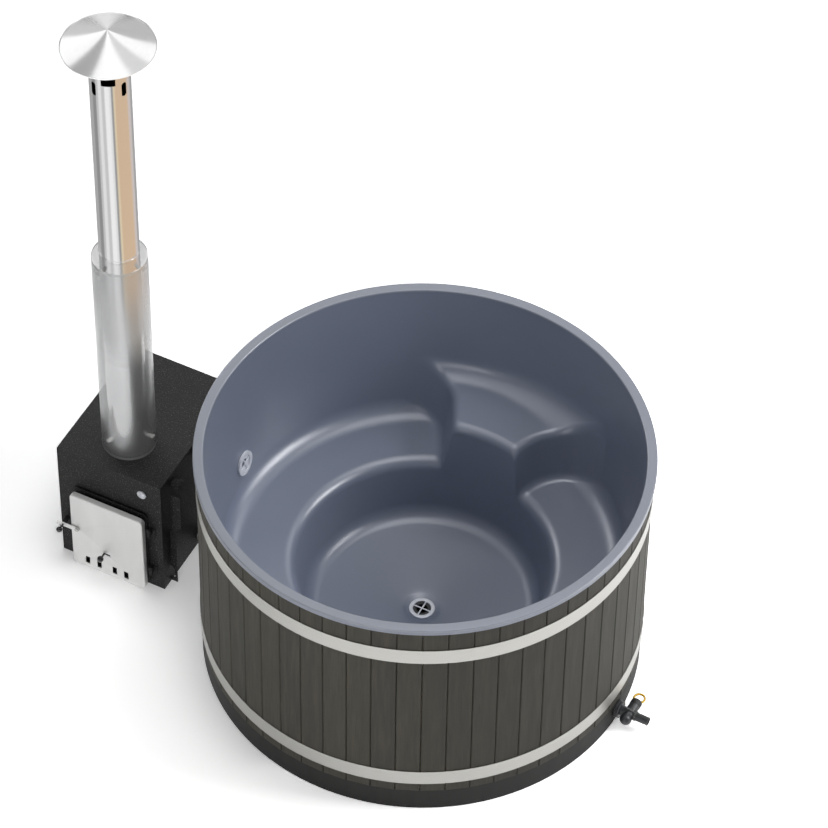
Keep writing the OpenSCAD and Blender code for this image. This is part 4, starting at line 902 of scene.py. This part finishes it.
def make_floor():
    p = Paint("studio_floor")
    rays = p.tree.nodes.new("ShaderNodeLightPath")
    camera_ray = Value(p, rays.outputs["Is Camera Ray"])
    seen = camera_ray.do("MAXIMUM", Value(p, rays.outputs["Is Glossy Ray"]))
    seen = seen.do("MAXIMUM", Value(p, rays.outputs["Is Transmission Ray"]))
    matt = p.tree.nodes.new("ShaderNodeBsdfDiffuse")
    p.plug(matt.inputs[0], PALE)
    # Painted contact shadow: ambient occlusion darkens the floor for the camera near the tub and the
    # stove.
    open_sky = p.node("ShaderNodeAmbientOcclusion", {"samples": 8}, {"Distance": 0.36}, output=1)
    open_sky = open_sky.do("MAXIMUM", 1.0 - camera_ray)
    x, y = p.axes()[:2]
    open_sky = open_sky.do("MAXIMUM", x.within(-0.80, -0.30))
    open_sky = open_sky.do("MAXIMUM", y.within(-0.80, -0.40, 1.0, 0.0))
    shown = p.tree.nodes.new("ShaderNodeBsdfDiffuse")
    p.plug(shown.inputs[0], p.mix(open_sky.within(0.35, 0.85), CONTACT_SHADE, LIFTED))
    lifted = p.tree.nodes.new("ShaderNodeEmission")
    far = ((x + 0.2) ** 2.0 + y ** 2.0) ** 0.5
    p.plug(lifted.inputs[1], far.within(2.2, 6.5, 0.30, 1.1))
    both = p.tree.nodes.new("ShaderNodeAddShader")
    pick = p.tree.nodes.new("ShaderNodeMixShader")
    link = p.tree.links.new
    link(shown.outputs[0], both.inputs[0])
    link(lifted.outputs[0], both.inputs[1])
    link(seen.socket, pick.inputs[0])
    link(matt.outputs[0], pick.inputs[1])
    link(both.outputs[0], pick.inputs[2])
    link(pick.outputs[0], p.out.inputs[0])
    return p.material


floor_mesh = bpy.data.meshes.new("floor")
floor_mesh.from_pydata(square(0, 0, FLOOR_HALF, -FLOOR_DOWN), [], [(0, 1, 2, 3)])
floor = bpy.data.objects.new("floor", floor_mesh)
bpy.context.scene.collection.objects.link(floor)
floor_mesh.materials.append(make_floor())

# %% World and lamps
FILL, SHINE = 0.03, 0.30


def make_world():
    """White for the camera, SHINE for reflections and FILL for everything else."""
    world = bpy.data.worlds.new("studio")
    bpy.context.scene.world = world
    world.use_nodes = True
    tree = world.node_tree
    tree.nodes.clear()
    rays = tree.nodes.new("ShaderNodeLightPath")
    shader = None
    for colour, strength, ray in (((0.97, 0.98, 1.0), FILL, None),
                                  ((1, 1, 1), SHINE, "Is Glossy Ray"),
                                  ((1, 1, 1), 1.0, "Is Camera Ray")):
        sky = tree.nodes.new("ShaderNodeBackground")
        sky.inputs[0].default_value, sky.inputs[1].default_value = (*colour, 1), strength
        if shader is None:
            shader = sky
            continue
        pick = tree.nodes.new("ShaderNodeMixShader")
        tree.links.new(rays.outputs[ray], pick.inputs[0])
        tree.links.new(shader.outputs[0], pick.inputs[1])
        tree.links.new(sky.outputs[0], pick.inputs[2])
        shader = pick
    tree.links.new(shader.outputs[0], tree.nodes.new("ShaderNodeOutputWorld").inputs[0])


make_world()


def lamp(name, place, size, watts, shine_only=False, aim=(0, 0, 0.5)):
    """A square area lamp at a place, turned towards the point that it lights."""
    data = bpy.data.lights.new(name, "AREA")
    data.shape, data.size, data.energy = "SQUARE", size, watts
    made = bpy.data.objects.new(name, data)
    bpy.context.scene.collection.objects.link(made)
    back = unit(np.array(place, float) - np.array(aim, float))
    side = unit(np.cross([0, 0, 1.0] if abs(back[2]) < 0.99 else [0, 1.0, 0], back))
    m = np.eye(4)
    m[:3, 0], m[:3, 1], m[:3, 2], m[:3, 3] = side, np.cross(back, side), back, place
    made.matrix_world = Matrix(m.tolist())
    made.visible_diffuse = not shine_only
    return made


lamp("key", (5.9, -0.4, 5.0), 3.2, 255.0)
lamp("top", (0.3, 0.9, 7.3), 4.6, 140.0)
lamp("front", (-2.2, -5.8, 2.7), 3.0, 100.0)
lamp("shine_right", (6.0, 0.0, 4.0), 3.0, 240.0, shine_only=True)
lamp("shine_top", (0, 0, 7.0), 4.0, 120.0, shine_only=True)
lamp("shine_far_left", (-3.5, 4.5, 4.5), 3.0, 170.0, shine_only=True)
lamp("shine_far_right", (3.5, 4.5, 4.5), 3.0, 90.0, shine_only=True)
lamp("shine_far", (0, 6.0, 4.5), 3.0, 60.0, shine_only=True)
scene = bpy.context.scene
scene.view_settings.view_transform = "Standard"

# %% [markdown]
# ## Light and dark cards for the chimney
# A polished pipe shows nothing of its own, only what lies round it. A photographer puts wide
# light and dark cards where such a pipe mirrors them, and so does this scene. From above, the
# pipe mirrors what lies below it, so its cards are sectors of one wide level sheet, six metres
# across. Near the axis the sectors suit the guard, and right beside it the sheet is clear, so
# the guard's foot mirrors the stove. The cap mirrors the sky, so its cards are a dome. Only
# reflections see either. A point of the pipe at angle f from the front mirrors what lies at
# angle 2 f - asin(r / R sin f), at a distance R from the pipe's axis.

# %% Reflection cards
CARD_R, DOME_R, DOME_Z = 0.8, 1.2, 2.62
SHEET_Z, SHEET_HALF = 1.07, 3.0
PIPE_R, SLEEVE_R = 0.075, 0.1


def card_ramp(p, turned_by, cards, edges=0.006):
    """Colour by angle. Cards are (angle in degrees where one starts, colour)."""
    stops = []
    for n, (start, colour) in enumerate(cards):
        colour = colour if isinstance(colour, tuple) else (colour, colour, colour)
        place = start / 360 + 0.5
        if n:
            stops.append((place - edges, stops[-1][1]))
        stops.append((place + (edges if n else 0), colour))
    return p.node("ShaderNodeValToRGB", {"stops": stops}, {0: turned_by * (0.5 / pi) + 0.5})


def make_cards(name, cards, middle=None):
    """Glowing cards, clear from behind. With other cards for the middle, the two sets blend
    between 0.30 and 0.50 m from the axis, and nearest to the axis they are clear."""
    p = Paint(name)
    x, y = p.axes(p.place(shift=(-FLUE[0], -FLUE[1], 0)))[:2]
    turned_by = p.node("ShaderNodeMath", {"operation": "ARCTAN2"}, {0: x, 1: -1.0 * y})
    colour = card_ramp(p, turned_by, cards)
    hidden = Value(p, p.tree.nodes.new("ShaderNodeNewGeometry").outputs["Backfacing"])
    if middle:
        away = (x * x + y * y).do("SQRT")
        colour = p.mix(away.within(0.30, 0.50), card_ramp(p, turned_by, middle, 0.012), colour)
        hidden = hidden.do("MAXIMUM", away.within(0.10, 0.22, 1.0, 0.0))
    glow = p.tree.nodes.new("ShaderNodeEmission")
    p.plug(glow.inputs[0], colour)
    clear = p.tree.nodes.new("ShaderNodeBsdfTransparent")
    pick = p.tree.nodes.new("ShaderNodeMixShader")
    p.plug(pick.inputs[0], hidden)
    p.tree.links.new(glow.outputs[0], pick.inputs[1])
    p.tree.links.new(clear.outputs[0], pick.inputs[2])
    p.tree.links.new(pick.outputs[0], p.out.inputs[0])
    return p.material


def set_cards(name, points, faces, material):
    """A backdrop that is seen by reflections alone."""
    mesh = bpy.data.meshes.new(name)
    mesh.from_pydata(points, [], faces)
    mesh.materials.append(material)
    made = bpy.data.objects.new(name, mesh)
    bpy.context.scene.collection.objects.link(made)
    made.visible_camera = made.visible_diffuse = made.visible_shadow = False
    made.visible_transmission = made.visible_volume_scatter = False


def mirrored(radius, first, *cards):
    """Cards given by where they are seen across a pipe, from -1 left to 1 right, and by their
    tone, placed at the angle where the pipe mirrors them. The first one starts behind."""
    across, tones = zip(*cards)
    f = np.arcsin(across)
    starts = np.degrees(2 * f - np.arcsin(radius / CARD_R * np.array(across)))
    return [(-180, first), *zip(starts.tolist(), tones)]


TAN, PALE_TAN, PINK_GREY, WARM_GREY = (
    (0.84, 0.62, 0.43), (0.95, 0.80, 0.57), (0.78, 0.70, 0.68), (0.54, 0.50, 0.45))
pipe_cards = mirrored(PIPE_R, 0.5, (-0.82, 0.36), (-0.66, 0.7), (-0.56, 1.0), (-0.40, 0.75),
                      (-0.25, 1.15), (-0.04, 1.0), (0.06, 0.42), (0.16, PALE_TAN),
                      (0.26, TAN), (0.82, PINK_GREY), (0.92, 0.46))
guard_cards = mirrored(SLEEVE_R, 0.74, (-0.5, 0.90), (-0.2, 1.10), (0.12, 0.78),
                       (0.3, WARM_GREY), (0.75, 0.78))


def mirrored_cap(bearing):
    """Card angle seen at a bearing round the rain cap, in degrees from the front. The sight
    line v meets the cone's normal n and leaves along v - 2 (v.n) n until it meets the dome."""
    b, tilt = radians(bearing), np.arctan(slope)
    sight = np.array([0, cos(pitch), -sin(pitch)])
    normal = np.array([sin(tilt) * sin(b), -sin(tilt) * cos(b), cos(tilt)])
    out = sight - 2 * sight.dot(normal) * normal
    start = 0.75 * CAP_R * np.array([sin(b), -cos(b), 0.0])
    along = -start.dot(out) + np.sqrt(start.dot(out) ** 2 - start.dot(start) + DOME_R**2)
    end = start + along * out
    return float(np.degrees(np.arctan2(end[0], -end[1])))


cap_cards = [(-180, 0.68)] + [(mirrored_cap(bearing), shade) for bearing, shade in (
    (-103, 1.3), (-53, 0.49), (-23, 1.3), (34, 0.8), (66, 1.3), (102, 0.64))]
set_cards("pipe_cards", square(*FLUE, SHEET_HALF, SHEET_Z), [(0, 1, 2, 3)],
          make_cards("pipe_card_glow", pipe_cards, guard_cards))
a = np.arange(96) * 2 * pi / 96
b = np.radians(np.linspace(0, 89, 12))[:, None]
dome = np.stack([FLUE[0] + DOME_R * np.cos(b) * np.cos(a),
                 FLUE[1] + DOME_R * np.cos(b) * np.sin(a),
                 DOME_Z + DOME_R * np.sin(b) + 0 * a], -1)
dome_faces = grid_faces(len(b), len(a), False, True)[:, ::-1]
set_cards("cap_cards", dome.reshape(-1, 3).tolist(), dome_faces.tolist(),
          make_cards("cap_card_glow", cap_cards))
print("cards for the chimney:", len(pipe_cards) + len(cap_cards))
